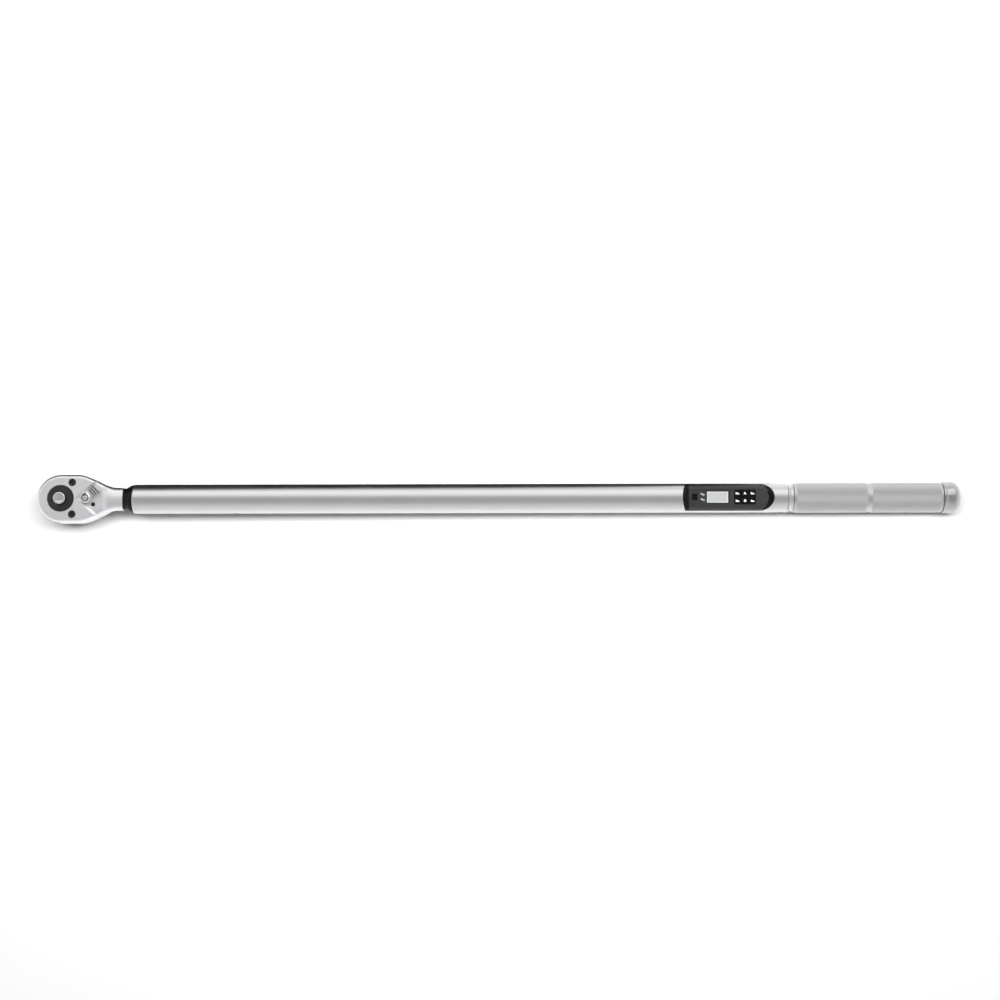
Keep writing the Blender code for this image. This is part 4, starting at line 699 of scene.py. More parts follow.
def half_width(x):
    return nose_r + (neck_half - nose_r) * ease((x - 22 * mm) / (49 * mm))


def head_rail():
    """Points round one side of the head's outline, with the direction facing out at each."""
    rail = []
    for i in range(31):
        a = math.radians(180 - 3 * i)
        rail.append((nose_r * math.cos(a), nose_r * math.sin(a), math.cos(a), math.sin(a)))
    for i in range(1, 61):
        x = neck_end * i / 60
        slope = (half_width(x + mm) - half_width(x - mm)) / (2 * mm)
        out = Vector((-slope, 1)).normalized()
        rail.append((x, half_width(x), out.x, out.y))
    return rail


def head_section(x, y, out_x, out_y):
    """One closed section: up one side, across the top, down the other, and back underneath."""
    slope = min(max((x - 56 * mm) / (5 * mm), 0), 1)
    low, high = head_low + 6.5 * mm * slope, floor_z - 3 * mm * slope
    edge = head_edge + 3 * mm * ease((x - 48 * mm) / (20 * mm))
    side = []
    for i in range(side_steps + 1):
        t = math.radians(90) * i / side_steps
        side.append((edge * (1 - math.sin(t)), low + edge * (1 - math.cos(t))))
    for i in range(side_steps + 1):
        t = math.radians(90) * i / side_steps
        side.append((edge * (1 - math.cos(t)), high - edge + edge * math.sin(t)))
    near = [(x - out_x * d, y - out_y * d, z) for d, z in side]
    far = [(px, -py, z) for px, py, z in reversed(near)]
    top, under = near[-1], far[-1]
    crown = 0.8 * mm * slope
    shares = [2 * i / across_steps - 1 for i in range(1, across_steps)]
    over = [(top[0], -top[1] * s, top[2] + crown * (1 - s * s)) for s in shares]
    below = [(under[0], -under[1] * s, under[2] - crown * (1 - s * s)) for s in shares]
    return near + over + far + below


loops = [head_section(*station) for station in head_rail()]
faces = between_rings(loops, False)
last = (len(loops) - 1) * len(loops[0])
faces.append(tuple(range(last, last + len(loops[0]))))
head = weld("head_body", [p for loop in loops for p in loop], faces)
print("head stations:", len(loops))

# %% [markdown]
# The plate's outline follows the nose and runs back to the two points where the V's legs leave
# the head. Its round edge continues the head's, while the V's walls lean back a little, because
# a forging has to come out of its die.

# %% The raised nose plate and the V
v_tip = 19.25 * mm
v_rise = math.tan(math.radians(39.5))
v_cross = v_tip
while half_width(v_cross) > (v_cross - v_tip) * v_rise:
    v_cross += 0.05 * mm
upper_side = [(v_cross, half_width(v_cross))]
upper_side += [(x, y) for x, y, _, _ in reversed(head_rail()) if x < v_cross - 0.3 * mm]
plate_outline = upper_side + [(x, -y) for x, y in reversed(upper_side[:-1])]


def plate_layer(z, depth):
    return inset(plate_outline, [depth] * (len(plate_outline) - 1) + [0.0]), z


def v_wedge(z):
    """The V's outline at a height; it widens upward by two millimetres over the step."""
    lean = (2 * (z - floor_z) / (head_top - floor_z) - 1) * mm
    tip = v_tip - lean / math.sin(math.atan(v_rise))
    far = 60 * mm
    return [(tip, 0), (tip + far, -far * v_rise), (tip + far, far * v_rise)], z


layers = [plate_layer(49.2 * mm, 0.02 * mm)]
for i in range(side_steps + 1):
    t = math.radians(90) * i / side_steps
    depth = max(head_edge * (1 - math.cos(t)), 0.02 * mm)
    layers.append(plate_layer(head_top - head_edge + head_edge * math.sin(t), depth))
plate = cut(stack("nose_plate", layers), stack("cutter", [v_wedge(48 * mm), v_wedge(60 * mm)]))
shank_profile = in_mm((0, 77), (10.2, 77), (10.2, 127.4), (9.6, 128), (0, 128))
shank = turned_x("shank", shank_profile, 96)
fuse(head, plate, shank)
print("head blank:", len(head.data.polygons), "faces")

# %% [markdown]
# Machining comes next: room for the gear, pawl and cover from below, the bore for the hub with a
# bright chamfer, the lever's bore and its two detent dimples, and a counterbore for each screw.

# %% Machine the head
lever_axis = middle("lever_seal")
screw_spots = [middle("cover_screw_1"), middle("cover_screw_2")]
pawl_spot = middle("pawl_pin")
detents = []
for side in (1, -1):
    a = side * math.radians(42)
    detents.append((lever_axis.x + 11.5 * mm * math.cos(a), 11.5 * mm * math.sin(a)))
cutters = [
    beam((-40 * mm, -40 * mm, 10 * mm), (44.6 * mm, 40 * mm, 27.8 * mm)),
    beam((16.04 * mm, -16.95 * mm, 18 * mm), (30.9 * mm, 16.95 * mm, 47.46 * mm)),
    pillar(22.3 * mm, (0, 0), 20 * mm, 47.5 * mm, 96),
    pillar(16.55 * mm, (0, 0), 40 * mm, head_top, 96, 0.9 * mm),
    pillar(7.3 * mm, lever_axis, 19 * mm, 47.54 * mm),
    pillar(5.3 * mm, lever_axis, 38.7 * mm, floor_z, 60, 0.4 * mm),
    pillar(1.55 * mm, pawl_spot, 40 * mm, 51 * mm, 24),
    turned_x("cutter", rod(99.9, 130, 7.3), 48),
    pillar(2.8 * mm, middle("beam_pin"), 15 * mm, 65 * mm, 32),
]
for spot in screw_spots:
    cutters.append(pillar(4.7 * mm, spot, 53 * mm, head_top, 48, 0.45 * mm))
    cutters.append(pillar(2.5 * mm, spot, 20 * mm, 54 * mm, 32))
for spot in detents:
    cutters.append(pillar(2.8 * mm, spot, 52 * mm, floor_z, 32, 0.3 * mm))
fit(cut(head, *cutters), "head_body", satin_head)


def detent_painted_shade(spot, normal):
    deep = 51 * mm < spot.z < 54.2 * mm
    return deep and any(math.hypot(spot.x - x, spot.y - y) < 2.9 * mm for x, y in detents)


# The two detent dimples get the dark phosphated finish: painted shade in their hollows.
paint(head, black_steel, detent_painted_shade)

# %% [markdown]
# The cover plate closes the underside. It has the same outline as the nose, so we raise it from
# the rail again, rounding only the outer edge and leaving the straight end square.

# %% Cover plate
cover_end = span("drive_cover", X)[1]
cover_low, cover_top = span("drive_cover", Z)
half_cover = [(cover_end, half_width(cover_end))]
half_cover += [(x, y) for x, y, _, _ in reversed(head_rail()) if x < cover_end - 0.3 * mm]
cover_outline = half_cover + [(x, -y) for x, y in reversed(half_cover[:-1])]
layers = []
for i in range(side_steps + 1):
    t = math.radians(90) * i / side_steps
    amounts = [2.2 * mm * (1 - math.sin(t))] * (len(cover_outline) - 1) + [0.0]
    layers.append((inset(cover_outline, amounts), cover_low + 2.2 * mm * (1 - math.cos(t))))
layers.append((cover_outline, cover_top))
cover = stack("drive_cover", layers)
holes = [
    pillar(15.3 * mm, (0, 0), 20 * mm, 30 * mm, 96),
    pillar(1.55 * mm, pawl_spot, 25.2 * mm, 30 * mm, 24),
]
holes += [pillar(2.5 * mm, spot, 20 * mm, 30 * mm, 32) for spot in screw_spots]
rim = [(0, 23 * mm), (16.6 * mm, 23 * mm), (15.3 * mm, 24.7 * mm), (0, 24.7 * mm)]
holes.append(turned("cutter", rim, sides=96))
fit(cut(cover, *holes), "drive_cover", satin_head)

# %% [markdown]
# ## Hub, button and screws
#
# The hub is one piece of steel: gear ring, round hub above and below, and the drive square. We
# turn the round part with its stepped bore, raise the toothed ring and the square, and weld them.
# The hub's face keeps the fine rings that the lathe left.

# %% Gear, hub and drive square
gear_low, gear_top = 28.1 * mm, 47.2 * mm
hub_r, hub_top = 16.25 * mm, span("drive_gear", Z)[1]
hub_face = [(hub_r, gear_top - 0.1 * mm), (hub_r, hub_top - 0.7 * mm)]
hub_face.append((hub_r - 0.6 * mm, hub_top - 0.1 * mm))
for i in range(9):
    r = hub_r - (0.95 + 0.72 * i) * mm
    crest, valley = hub_top - 0.04 * mm, hub_top - 0.22 * mm
    hub_face += [(r, crest), (r - 0.36 * mm, crest), (r - 0.54 * mm, valley)]
hub_face += [(8.5 * mm, hub_top - 0.1 * mm), (8.1 * mm, hub_top - 0.5 * mm)]


def gear_ring(root, tip, teeth=60):
    """The gear's outline; each tooth has four points, as shares of a step from its middle."""
    outline = []
    for i in range(teeth):
        for share, radius in ((-0.32, root), (-0.08, tip), (0.08, tip), (0.32, root)):
            a = FULL * (i + share) / teeth
            outline.append((radius * math.cos(a), radius * math.sin(a)))
    return outline


teeth = gear_ring(20.2 * mm, 21.5 * mm)
chamfered = gear_ring(20.0 * mm, 20.9 * mm)
bevel = 0.5 * mm
gear_layers = [(chamfered, gear_low), (teeth, gear_low + bevel)]
gear_layers += [(teeth, gear_top - bevel), (chamfered, gear_top)]
hub = stack("drive_gear", gear_layers)
upper = turned("upper", [(0, gear_top - mm)] + hub_face + [(0, hub_top - 0.5 * mm)], sides=120)
lower_profile = in_mm((0, 21.8), (14.6, 21.8), (15, 22.2), (15, 29), (0, 29))
lower = turned("lower", lower_profile, sides=120)
side = 19.05 * mm  # the three-quarter-inch drive
square_layers = []
for z, shrink in ((0, 1.3), (0.5, 0.5), (1.3, 0.0), (22.5, 0.0)):
    across = side - 2 * shrink * mm
    square_layers.append((round_box((0, 0), (across, across), 1.5 * mm), z * mm))
square = stack("square", square_layers)
fuse(hub, upper, lower, square)
steps_down = in_mm(
    (0, 70), (8.1, 70), (8.1, 53), (6.25, 53), (6.25, 40.3), (4.3, 40.3), (4.3, 3.5), (0, 3.5)
)
well = turned("cutter", steps_down, sides=64)
ball_spot = middle("detent_ball")
ball_hole = in_mm((0, 2), (3.475, 2), (3.475, 9.125), (2.95, 9.4), (2.95, 12), (0, 12))
socket = turned("cutter", ball_hole, X, (0, 0, ball_spot.z), 48)
fit(cut(hub, well, socket), "drive_gear", black_steel)

# %% [markdown]
# The button is polished and slightly dished for a thumb; its stem is thinned lower down, so that
# the ball can drop in when the button is pressed. The ball has a tiny flat where sockets have
# rubbed it. The spring below the button is wire wound round the stem, with a closed turn at each
# end. The screws are ordinary socket heads, with a hexagon sunk into a chamfered face.

# %% Button and ball
thumb_dish = in_mm(
    (0, 66.05), (3.5, 66.1), (5.4, 66.32), (6.3, 66.5), (6.9, 66.4), (7.4, 66.1), (7.7, 65.6)
)
stem = in_mm(
    (7.8, 65), (7.8, 57.3), (7.4, 56.8), (4, 56.8), (4, 22), (2.85, 20.6), (2.85, 15), (4, 11.5),
    (4, 7.7), (3.6, 7.3), (0, 7.3),
)
fit(turned("release_button", thumb_dish + stem, sides=96), "release_button", bright_chrome)

ball_r = (span("detent_ball", Z)[1] - span("detent_ball", Z)[0]) / 2
ball_profile = [(0, -ball_r)]
for i in range(1, 29):
    a = math.radians(6 * i)
    ball_profile.append((ball_r * math.sin(a), -ball_r * math.cos(a)))
ball_profile.append((0, ball_profile[-1][1]))
fit(turned("detent_ball", ball_profile, X, ball_spot, 48), "detent_ball", ground_steel)

# %% Release spring
def coil(name, radius, wire, low, high, turns, steps=24, sides=10):
    """A round-wire spring that stands on Z, with a closed turn at each end."""
    closed = 2.1 * wire
    open_turn = (high - low - 2 * wire - 2 * closed) / (turns - 2)
    rings = []
    for i in range(turns * steps + 1):
        turn = i / steps
        z = low + wire + closed * (min(turn, 1) + max(turn - turns + 1, 0))
        z += open_turn * min(max(turn - 1, 0), turns - 2)
        ring = []
        for k in range(sides):
            t = FULL * k / sides
            out, up = radius + wire * math.cos(t), wire * math.sin(t)
            ring.append((out * math.cos(FULL * turn), out * math.sin(FULL * turn), z + up))
        rings.append(ring)
    last = (len(rings) - 1) * sides
    ends = [tuple(reversed(range(sides))), tuple(range(last, last + sides))]
    return weld(name, [p for ring in rings for p in ring], between_rings(rings, False) + ends)


spring_low, spring_high = span("release_spring", Z)
release = coil("release_spring", 5.2 * mm, 0.45 * mm, spring_low, spring_high, 7)
fit(release, "release_spring", spring_wire)
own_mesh(release)

# %% Cover screws
screw_profile = in_mm(
    (0, 57.75), (3.75, 57.8), (4.15, 57.65), (4.35, 57.3), (4.35, 53.5), (4.15, 53.3), (2.2, 53.3),
    (2.2, 24.8), (1.9, 24.3), (0, 24.3),
)
mouth_profile = in_mm((0, 57.1), (1.9, 57.1), (2.75, 58), (0, 58))
flat = 2 / math.cos(math.radians(30))  # from the socket's middle to a corner
for i, spot in enumerate(screw_spots):
    foot = (spot.x, spot.y, 0)
    screw = turned(f"cover_screw_{i + 1}", screw_profile, Z, foot, 64)
    hexagon = []
    for k in range(6):
        a = math.radians(60 * k + 20)
        hexagon.append((spot.x + flat * mm * math.cos(a), spot.y + flat * mm * math.sin(a)))
    socket = stack("cutter", [(hexagon, 55 * mm), (hexagon, 60 * mm)])
    mouth = turned("cutter", mouth_profile, Z, foot, 48)
    fit(cut(screw, socket, mouth), f"cover_screw_{i + 1}", black_steel)

# %% [markdown]
# ## Direction lever
#
# A shaft through the head carries a flat thumb arm on top. It is easiest to build along its own
# axes, and then to turn it to the side it rests on. Three grooves give the thumb something to hold.

# %% Reverse lever
def on_lever(obj):
    """Moves a piece from the lever's own axes to its place on the head."""
    turn = Matrix.Translation((lever_axis.x, 0, 0)) @ Matrix.Rotation(math.radians(42), 4, "Z")
    obj.data.transform(turn)
    return obj


dome_and_ring = in_mm(
    (0, 63.4), (2.2, 63.35), (3.3, 63.2), (3.5, 62.1), (4.5, 62.1), (4.7, 62.95), (4.9, 62.9),
    (5.9, 62.4), (6.4, 61.8), (6.6, 61.1), (6.6, 55.3), (6.3, 54.8),
)
shaft = in_mm(
    (5, 54.8), (5, 51.8), (4, 51.8), (4, 50.2), (5, 50.2), (5, 47.3), (4.2, 47.3), (4.2, 45.9),
    (5, 45.9), (5, 28.6), (4.6, 28.1), (0, 28.1),
)
lever = turned("reverse_lever", dome_and_ring + shaft, sides=64)
tip_x, tip_y, tip_r = 16.7 * mm, 2.5 * mm, 3.8 * mm
arm = in_mm((0, -4.6), (8.6, -5.1))
arm += arc((tip_x, -tip_y), tip_r, math.radians(-90), 0, 8)
arm += arc((tip_x, tip_y), tip_r, 0, math.radians(90), 8)
arm += in_mm((8.6, 5.1), (0, 4.6))
fuse(lever, slab("arm", arm, 55.1 * mm, 62 * mm, 1.1 * mm, 0.4 * mm))


def strip(x, half):
    """A strip across the arm, given in millimetres."""
    return in_mm((x - half, -8), (x + half, -8), (x + half, 8), (x - half, 8))


grooves = []
for i in range(3):
    x = 10.8 + 3.2 * i
    grooves.append(stack("cutter", [(strip(x, 0.15), 60.6 * mm), (strip(x, 0.6), 62.2 * mm)]))
ball_pocket = pillar(2.5 * mm, (11.5 * mm, 0), 50 * mm, 61 * mm, 32)
plunger_hole = turned("cutter", rod(-10, 2, 2), X, (0, 0, 38 * mm), 24)
fit(on_lever(cut(lever, ball_pocket, plunger_hole, *grooves)), "reverse_lever", bright_chrome)


def groove_painted_shade(spot, normal):
    """The arm's grooves, and the ring round the pivot, whose dark finish is painted shade."""
    out = math.hypot(spot.x - lever_axis.x, spot.y)
    across = 60.5 * mm < spot.z < 61.5 * mm and out > 8 * mm and abs(normal.z) > 0.1
    return across or (62 * mm < spot.z < 62.8 * mm and out < 4.8 * mm)


# The grooves and the pivot ring get the dark phosphated finish: painted shade in these hollows of
# the chrome lever.
paint(lever, black_steel, groove_painted_shade)

# %% [markdown]
# ## Collar and tube
#
# A black moulded collar swells from the neck to the tube. The tube itself is drawn steel with a
# machined front edge, a window cut for the panel and holes for the two cross pins.

# %% Collar
flare = [(10.5, 79.7), (12.4, 79.3), (13.3, 79.4), (13.9, 79.9), (14.15, 80.6), (14.0, 81.3)]
for i in range(1, 11):
    flare.append((14.0 + 4.2 * ease(i / 10), 81.3 + 9.6 * i / 10))
flare += [(18.2, 91.3), (17.9, 91.7), (16.2, 91.7), (16.2, 97.1), (15.8, 97.5), (10.5, 97.5)]
fit(turned_x("neck_collar", in_mm(*flare)), "neck_collar", collar_plastic)

# %% The panel's outline and the tube
panel_start = span("display_housing", X)[0]
panel_half = 17 * mm
rear_x = 908.6 * mm  # middle of the round rear end
bow = 4 * mm


def panel_outline(grow=0.0):
    """Anticlockwise: round rear end, straight sides and a bowed front."""
    half = panel_half + grow
    radius = (bow * bow + panel_half * panel_half) / (2 * bow)
    turn = math.asin(half / (radius + grow))
    front = arc((panel_start + radius, 0), radius + grow, math.pi - turn, math.pi + turn, 24)
    rear = arc((rear_x, 0), half, -math.pi / 2, math.pi / 2, 48)
    return rear + front


wall = [(16.5, 92.6), (16.9, 92.0), (17.6, 92.0), (18.3, 92.5), (18.8, 93.3), (19, 94.2)]
wall += [(19, x) for x in (218, 233, 500, 800, 929, 941, 943.6)]
wall += [(18.6, 944), (16.9, 944), (16.5, 943.6)]
wall += [(16.5, x) for x in (929, 800, 233, 218)]
tube = turned_x("main_tube", in_mm(*wall), 256)
opening = panel_outline(0.3 * mm)
cutters = [stack("cutter", [(opening, 42.2 * mm), (opening, 70 * mm)])]
for node, radius in (("tube_pin", 3.3), ("handle_pin", 2.8)):
    cutters.append(turned("cutter", rod(-30, 30, radius), Y, middle(node), 48))
fit(cut(tube, *cutters), "main_tube", satin_tube)

for node in ("tube_pin", "handle_pin"):
    reach = span(node, Y)[1]
    radius = (span(node, Z)[1] - span(node, Z)[0]) / 2
    ends = [(0, reach - 0.1 * mm), (radius * 0.55, reach)]
    ends += [(radius - 0.35 * mm, reach - 0.1 * mm), (radius, reach - 0.6 * mm)]
    pin = ends + [(r, -y) for r, y in reversed(ends)]
    spot = middle(node)
    fit(turned(node, pin, Y, (spot.x, 0, spot.z), 40), node, ground_steel)

# %% [markdown]
# ## Display panel
#
# The panel is one black moulding let into the tube: its outside follows the tube's round, and a
# shallow tray is sunk into its crown, with a steep front and a long sweeping rear. A clear
# window, six keys and two small lights sit in that tray.

# %% Panel shell
flat_z = 56.5 * mm


def tray_outline(front, corner, rear, radius, half):
    """One level of the tray: a front with two round corners, and a round rear end."""
    corners = arc((front + corner, half - corner), corner, math.pi / 2, math.pi, 8)
    corners += arc((front + corner, -half + corner), corner, math.pi, 1.5 * math.pi, 8)
    return arc((rear, 0), radius, -math.pi / 2, math.pi / 2, 32) + corners


tray_low = tray_outline(815 * mm, 3.6 * mm, 899.4 * mm, 12.6 * mm, 12.6 * mm)
tray_mid = tray_outline(812.6 * mm, 5 * mm, 903.4 * mm, 15.0 * mm, 15.0 * mm)
tray_high = tray_outline(810.6 * mm, 6 * mm, 907.4 * mm, 17.4 * mm, 17.4 * mm)
tray_levels = [(tray_low, flat_z), (tray_mid, flat_z + 1.75 * mm)]
tray_levels.append((tray_high, flat_z + 3.9 * mm))


def round_bar(radius):
    return turned_x("cutter", rod(790, 940, radius), 256)


panel = slab("display_housing", panel_outline(), 42.5 * mm, 64 * mm)
keep(panel, round_bar(tube_r / mm))
room = beam((812.5 * mm, -13.85 * mm, 31 * mm), (917.3 * mm, 13.85 * mm, 54.7 * mm))
keep(room, turned_x("cutter", rod(800, 930, 17.2), 96))
print("panel blank:", len(panel.data.polygons))

# %% Openings in the panel
window_spot = middle("display_window")
key_nodes = [f"key_{i}" for i in range(1, 7)]
light_nodes = ["indicator_light_1", "indicator_light_2"]


def through(centre, size, corner, low, high, turn=0.0):
    """A round-cornered cutter, turned in plan."""
    outline = []
    for x, y in round_box((0, 0), size, corner):
        c, s = math.cos(turn), math.sin(turn)
        outline.append((centre[0] + x * c - y * s, centre[1] + x * s + y * c))
    return stack("cutter", [(outline, low), (outline, high)])


light_turn = math.radians(-25)
below, above = 50 * mm, 60 * mm  # of the panel's crown
holes = [stack("cutter", tray_levels), room]
holes.append(through(window_spot, (31.1 * mm, 18.0 * mm), 1.5 * mm, 55.2 * mm, above))
holes.append(through(window_spot, (27.3 * mm, 14.2 * mm), 0.8 * mm, below, above))
for node in key_nodes:
    holes.append(through(middle(node), (8.6 * mm, 9.2 * mm), 1.3 * mm, below, above))
for node in light_nodes:
    holes.append(through(middle(node), (6 * mm, 3 * mm), 0.9 * mm, below, above, light_turn))
cut(panel, *holes)
buzzer_x = middle("buzzer").x
slots = [through((buzzer_x, 0), (7.4 * mm, 8.6 * mm), 0.8 * mm, 56.2 * mm, above)]
for y in (-2.8, 0, 2.8):
    slots.append(through((buzzer_x, y * mm), (6 * mm, 1.2 * mm), 0.55 * mm, below, above))
fit(cut(panel, *slots), "display_housing", black_plastic)


def gloss_and_painted_shade(spot, normal):
    """The tray's sloping ends, and the floor of the buzzer's well: glossier plastic, whose darker
    colour is painted shade.
    """
    sloping = 0.15 < normal.z < 0.97 and abs(spot.y) < 15 * mm and spot.z < 59.9 * mm
    front = 810 * mm < spot.x < 815.2 * mm and normal.x > 0
    rear = spot.x > 910 * mm and spot.z > 58.2 * mm and normal.x < 0
    well = abs(spot.x - buzzer_x) < 4 * mm and spot.z < 56.4 * mm and normal.z > 0.9
    return (sloping and (front or rear)) or well


# These faces get the darker, glossier key plastic: the darker colour is painted shade in the tray's
# slopes and the well, and the gloss is a change of finish.
paint(panel, key_gloss_and_shade, gloss_and_painted_shade)

# %% Frame round the keys
pad_spot = (middle("key_2") + middle("key_5")) / 2
pad = round_box((pad_spot.x, 0), (28.2 * mm, 19.6 * mm), 2.2 * mm)
keypad = slab("keypad_frame", pad, 56.42 * mm, 56.8 * mm, 0.2 * mm)
key_holes = []
for node in key_nodes:
    key_holes.append(through(middle(node), (8.5 * mm, 9.1 * mm), 1.3 * mm, below, above))
cut(keypad, *key_holes)
add_on(even(keypad), "display_housing", key_gloss_and_shade)
print("keypad frame:", len(keypad.data.polygons), "faces")

# %% [markdown]
# Both ends of the panel get a dark, glossy rim: painted shade where the ends dip into the tube. It
# is a thin skin, so we cut it from a slightly larger round than the tube's, and take the tray's
# shape out of the middle.

# %% Dark skin at the panel's ends: painted shade
inner_half, inner_r = 17.8 * mm, 20.5 * mm
swing = math.asin(inner_half / inner_r)
between = arc((898.5 * mm, 0), inner_r, -swing, swing, 32)
between += arc((819 * mm, 14 * mm), 3.8 * mm, math.pi / 2, math.pi, 8)
between += arc((819 * mm, -14 * mm), 3.8 * mm, math.pi, 1.5 * math.pi, 8)
# A thin dark skin over the panel's two ends, laid on as painted shade.
shade_rims = slab("panel_rims", panel_outline(-0.35 * mm), 44 * mm, 64 * mm)
keep(shade_rims, round_bar(tube_r / mm + 0.08))
middle_part = stack("cutter", [(between, 40 * mm), (between, 70 * mm)])
cut(shade_rims, round_bar(tube_r / mm - 0.4), middle_part, stack("cutter", tray_levels))
add_on(even(shade_rims), "display_housing", key_gloss_and_shade)
print("rims:", len(shade_rims.data.polygons), "faces")

# %% Window, display, lights and keys
def tile(node, size, low, high, corner, over, turn=0.0):
    """A small round-edged plate in the middle of a solid's box."""
    spot = middle(node)
    obj = slab(node, round_box((0, 0), size, corner), low, high, over)
    obj.data.transform(Matrix.Translation((spot.x, spot.y, 0)) @ Matrix.Rotation(turn, 4, "Z"))
    return obj


window_size, display_size = (30.5 * mm, 17.4 * mm), (30.9 * mm, 17.8 * mm)
window = tile("display_window", window_size, 55.5 * mm, 56.4 * mm, 1.2 * mm, 0.25 * mm)
fit(window, "display_window", window_finish)
display = tile("lcd_panel", display_size, 50.8 * mm, 54.4 * mm, 0.6 * mm, 0.2 * mm)
fit(display, "lcd_panel", lcd_finish)
for node in light_nodes:
    low, high = span(node, Z)
    light = tile(node, (5.6 * mm, 2.6 * mm), low, high, 0.8 * mm, 0.5 * mm, light_turn)
    fit(light, node, light_lens)


def key_piece(node):
    """A key with the flange below that keeps it in its hole."""
    spot = middle(node)
    low, high = span(node, Z)
    over = low + 0.9 * mm
    flange = round_box((spot.x, spot.y), (9.2 * mm, 9.5 * mm), 1.3 * mm)
    outline = round_box((spot.x, spot.y), (8 * mm, 8.6 * mm), 1.2 * mm)
    layers = [(flange, low), (flange, over), (outline, over)]
    edge = 0.55 * mm
    for i in range(5):
        t = math.radians(90) * i / 4
        depth = edge * (1 - math.cos(t))
        layers.append((inset(outline, [depth] * len(outline)), high - edge * (1 - math.sin(t))))
    return stack(node, layers)


for node in key_nodes:
    fit(key_piece(node), node, key_gloss_and_shade)

# %% [markdown]
# The white marks on the keys are pad-printed. Ours are plain wedges, a triangle and a square,
# thin enough to read as ink, and each rides with its own key.

# %% Printed marks on the keys
def mark(node, shape):
    spot = middle(node)
    top = span(node, Z)[1]
    outline = [(spot.x + x * mm, spot.y + y * mm) for x, y in shape]
    piece = slab(f"{node}_mark", outline, top - 0.02 * mm, top + 0.05 * mm, 0.02 * mm, steps=1)
    return add_on(piece, node, icon_paint)


wedge = [(-2.3, -1.5), (2.4, -1.5), (2.4, -0.5), (-2.3, 1.4)]
marks = {
    "key_1": wedge,
    "key_2": [(-1.8, -1.5), (2.0, -1.5), (-0.4, 1.9)],
    "key_3": wedge,
    "key_4": wedge,
    "key_5": [(-1.5, -1.5), (1.5, -1.5), (1.5, 1.5), (-1.5, 1.5)],
    "key_6": wedge,
}
for node, shape in marks.items():
    mark(node, shape)
print("marks:", len(marks))

# %% [markdown]
# ## Handle
#
# The grip is knurled: two wheels press crossing spiral grooves into the steel and leave rows of
# small pyramids. On a grid of points round the sleeve, every other point is a peak. Each square
# cell is split along its low diagonal, which gives true pyramids with straight valleys.

# %% Ring between tube and grip
adapter_profile = in_mm(
    (6, 928.4), (15.8, 928), (16.2, 928.4), (16.2, 944.3), (17.8, 944.3), (18.2, 944.8),
    (18.2, 946.6), (17.3, 947.4), (17.3, 948.9), (18.2, 949.8), (18.2, 951.2), (17.8, 951.7),
    (15.4, 951.7), (15.4, 974.6), (15.0, 975), (6, 975),
)
adapter = turned_x("handle_adapter", adapter_profile)
pin_hole = turned("cutter", rod(-30, 30, 2.8), Y, middle("handle_pin"), 40)
fit(cut(adapter, pin_hole), "handle_adapter", turned_aluminium)

# %% Knurled grip
grip_r = span("grip_sleeve", Y)[1]
columns = 136
knurl_step = 0.9 * mm
knurl_depth = 0.42 * mm


def knurl_rings(start, end):
    """Rings whose points stand high and low by turns."""
    count = round((end - start) / knurl_step)
    rings = []
    for i in range(count + 1):
        fade = min(i, count - i, 3) / 3
        x = start + (end - start) * i / count
        ring = []
        for k in range(columns):
            low = (i + k) % 2
            radius = grip_r - 0.05 * mm - knurl_depth * (low * fade + (1 - fade) * 0.7)
            a = FULL * k / columns
            ring.append((x, radius * math.cos(a), axis_z + radius * math.sin(a)))
        rings.append(ring)
    return rings


def rings_x(sides, *pairs):
    """Rings round the tube's axis, from (radius, place) pairs in millimetres."""
    return [ring_points(r * mm, x * mm, sides, (0, 0, axis_z), X) for r, x in pairs]


rings = rings_x(columns, (15.7, 952), (18.5, 952), (19.0, 952.5), (19.1, 953.3))
rings += knurl_rings(953.5 * mm, 1047.9 * mm)
rings += rings_x(columns, (19.0, 1048.2), (18.8, 1048.5), (18.8, 1051.5), (19.0, 1051.8))
rings += knurl_rings(1052.1 * mm, 1144.4 * mm)
rings += rings_x(columns, (19.1, 1144.8), (19.0, 1145.5), (18.5, 1146), (17.3, 1146))
rings += rings_x(columns, (17.3, 1136.2), (15.7, 1136.2))
faces = []
for a, b, c, d in between_rings(rings, True):
    row, column = divmod(a, columns)
    faces += [(a, b, c), (a, c, d)] if (row + column) % 2 == 0 else [(a, b, d), (b, c, d)]
knurl_corner = math.radians(24)
sleeve = weld("grip_sleeve", [p for ring in rings for p in ring], faces, knurl_corner)
stand_for(sleeve, "grip_sleeve", satin_grip)

# %% [markdown]
# The end cap is turned and polished, with a domed end. Its threaded neck screws into the grip; a
# real thread is a groove that winds, so the radius depends on both the place and the angle.

# %% End cap
cap_end = span("end_cap", X)[1]
cap_r = span("end_cap", Y)[1]
pitch = 1.5 * mm


def thread_rings(start, end, outer, depth, sides):
    """Six rings to a turn of the thread, which fades in and out at its ends."""
    rings = []
    count = round((end - start) / (pitch / 6))
    for i in range(count + 1):
        x = start + (end - start) * i / count
        fade = min(i, count - i, 4) / 4
        points = []
        for k in range(sides):
            turn = k / sides
            wave = abs(((x / pitch - turn) % 1) * 2 - 1)
            radius = outer - depth * wave * fade - (1 - fade) * depth
            a = FULL * turn
            points.append((x, radius * math.cos(a), axis_z + radius * math.sin(a)))
        rings.append(points)
    return rings


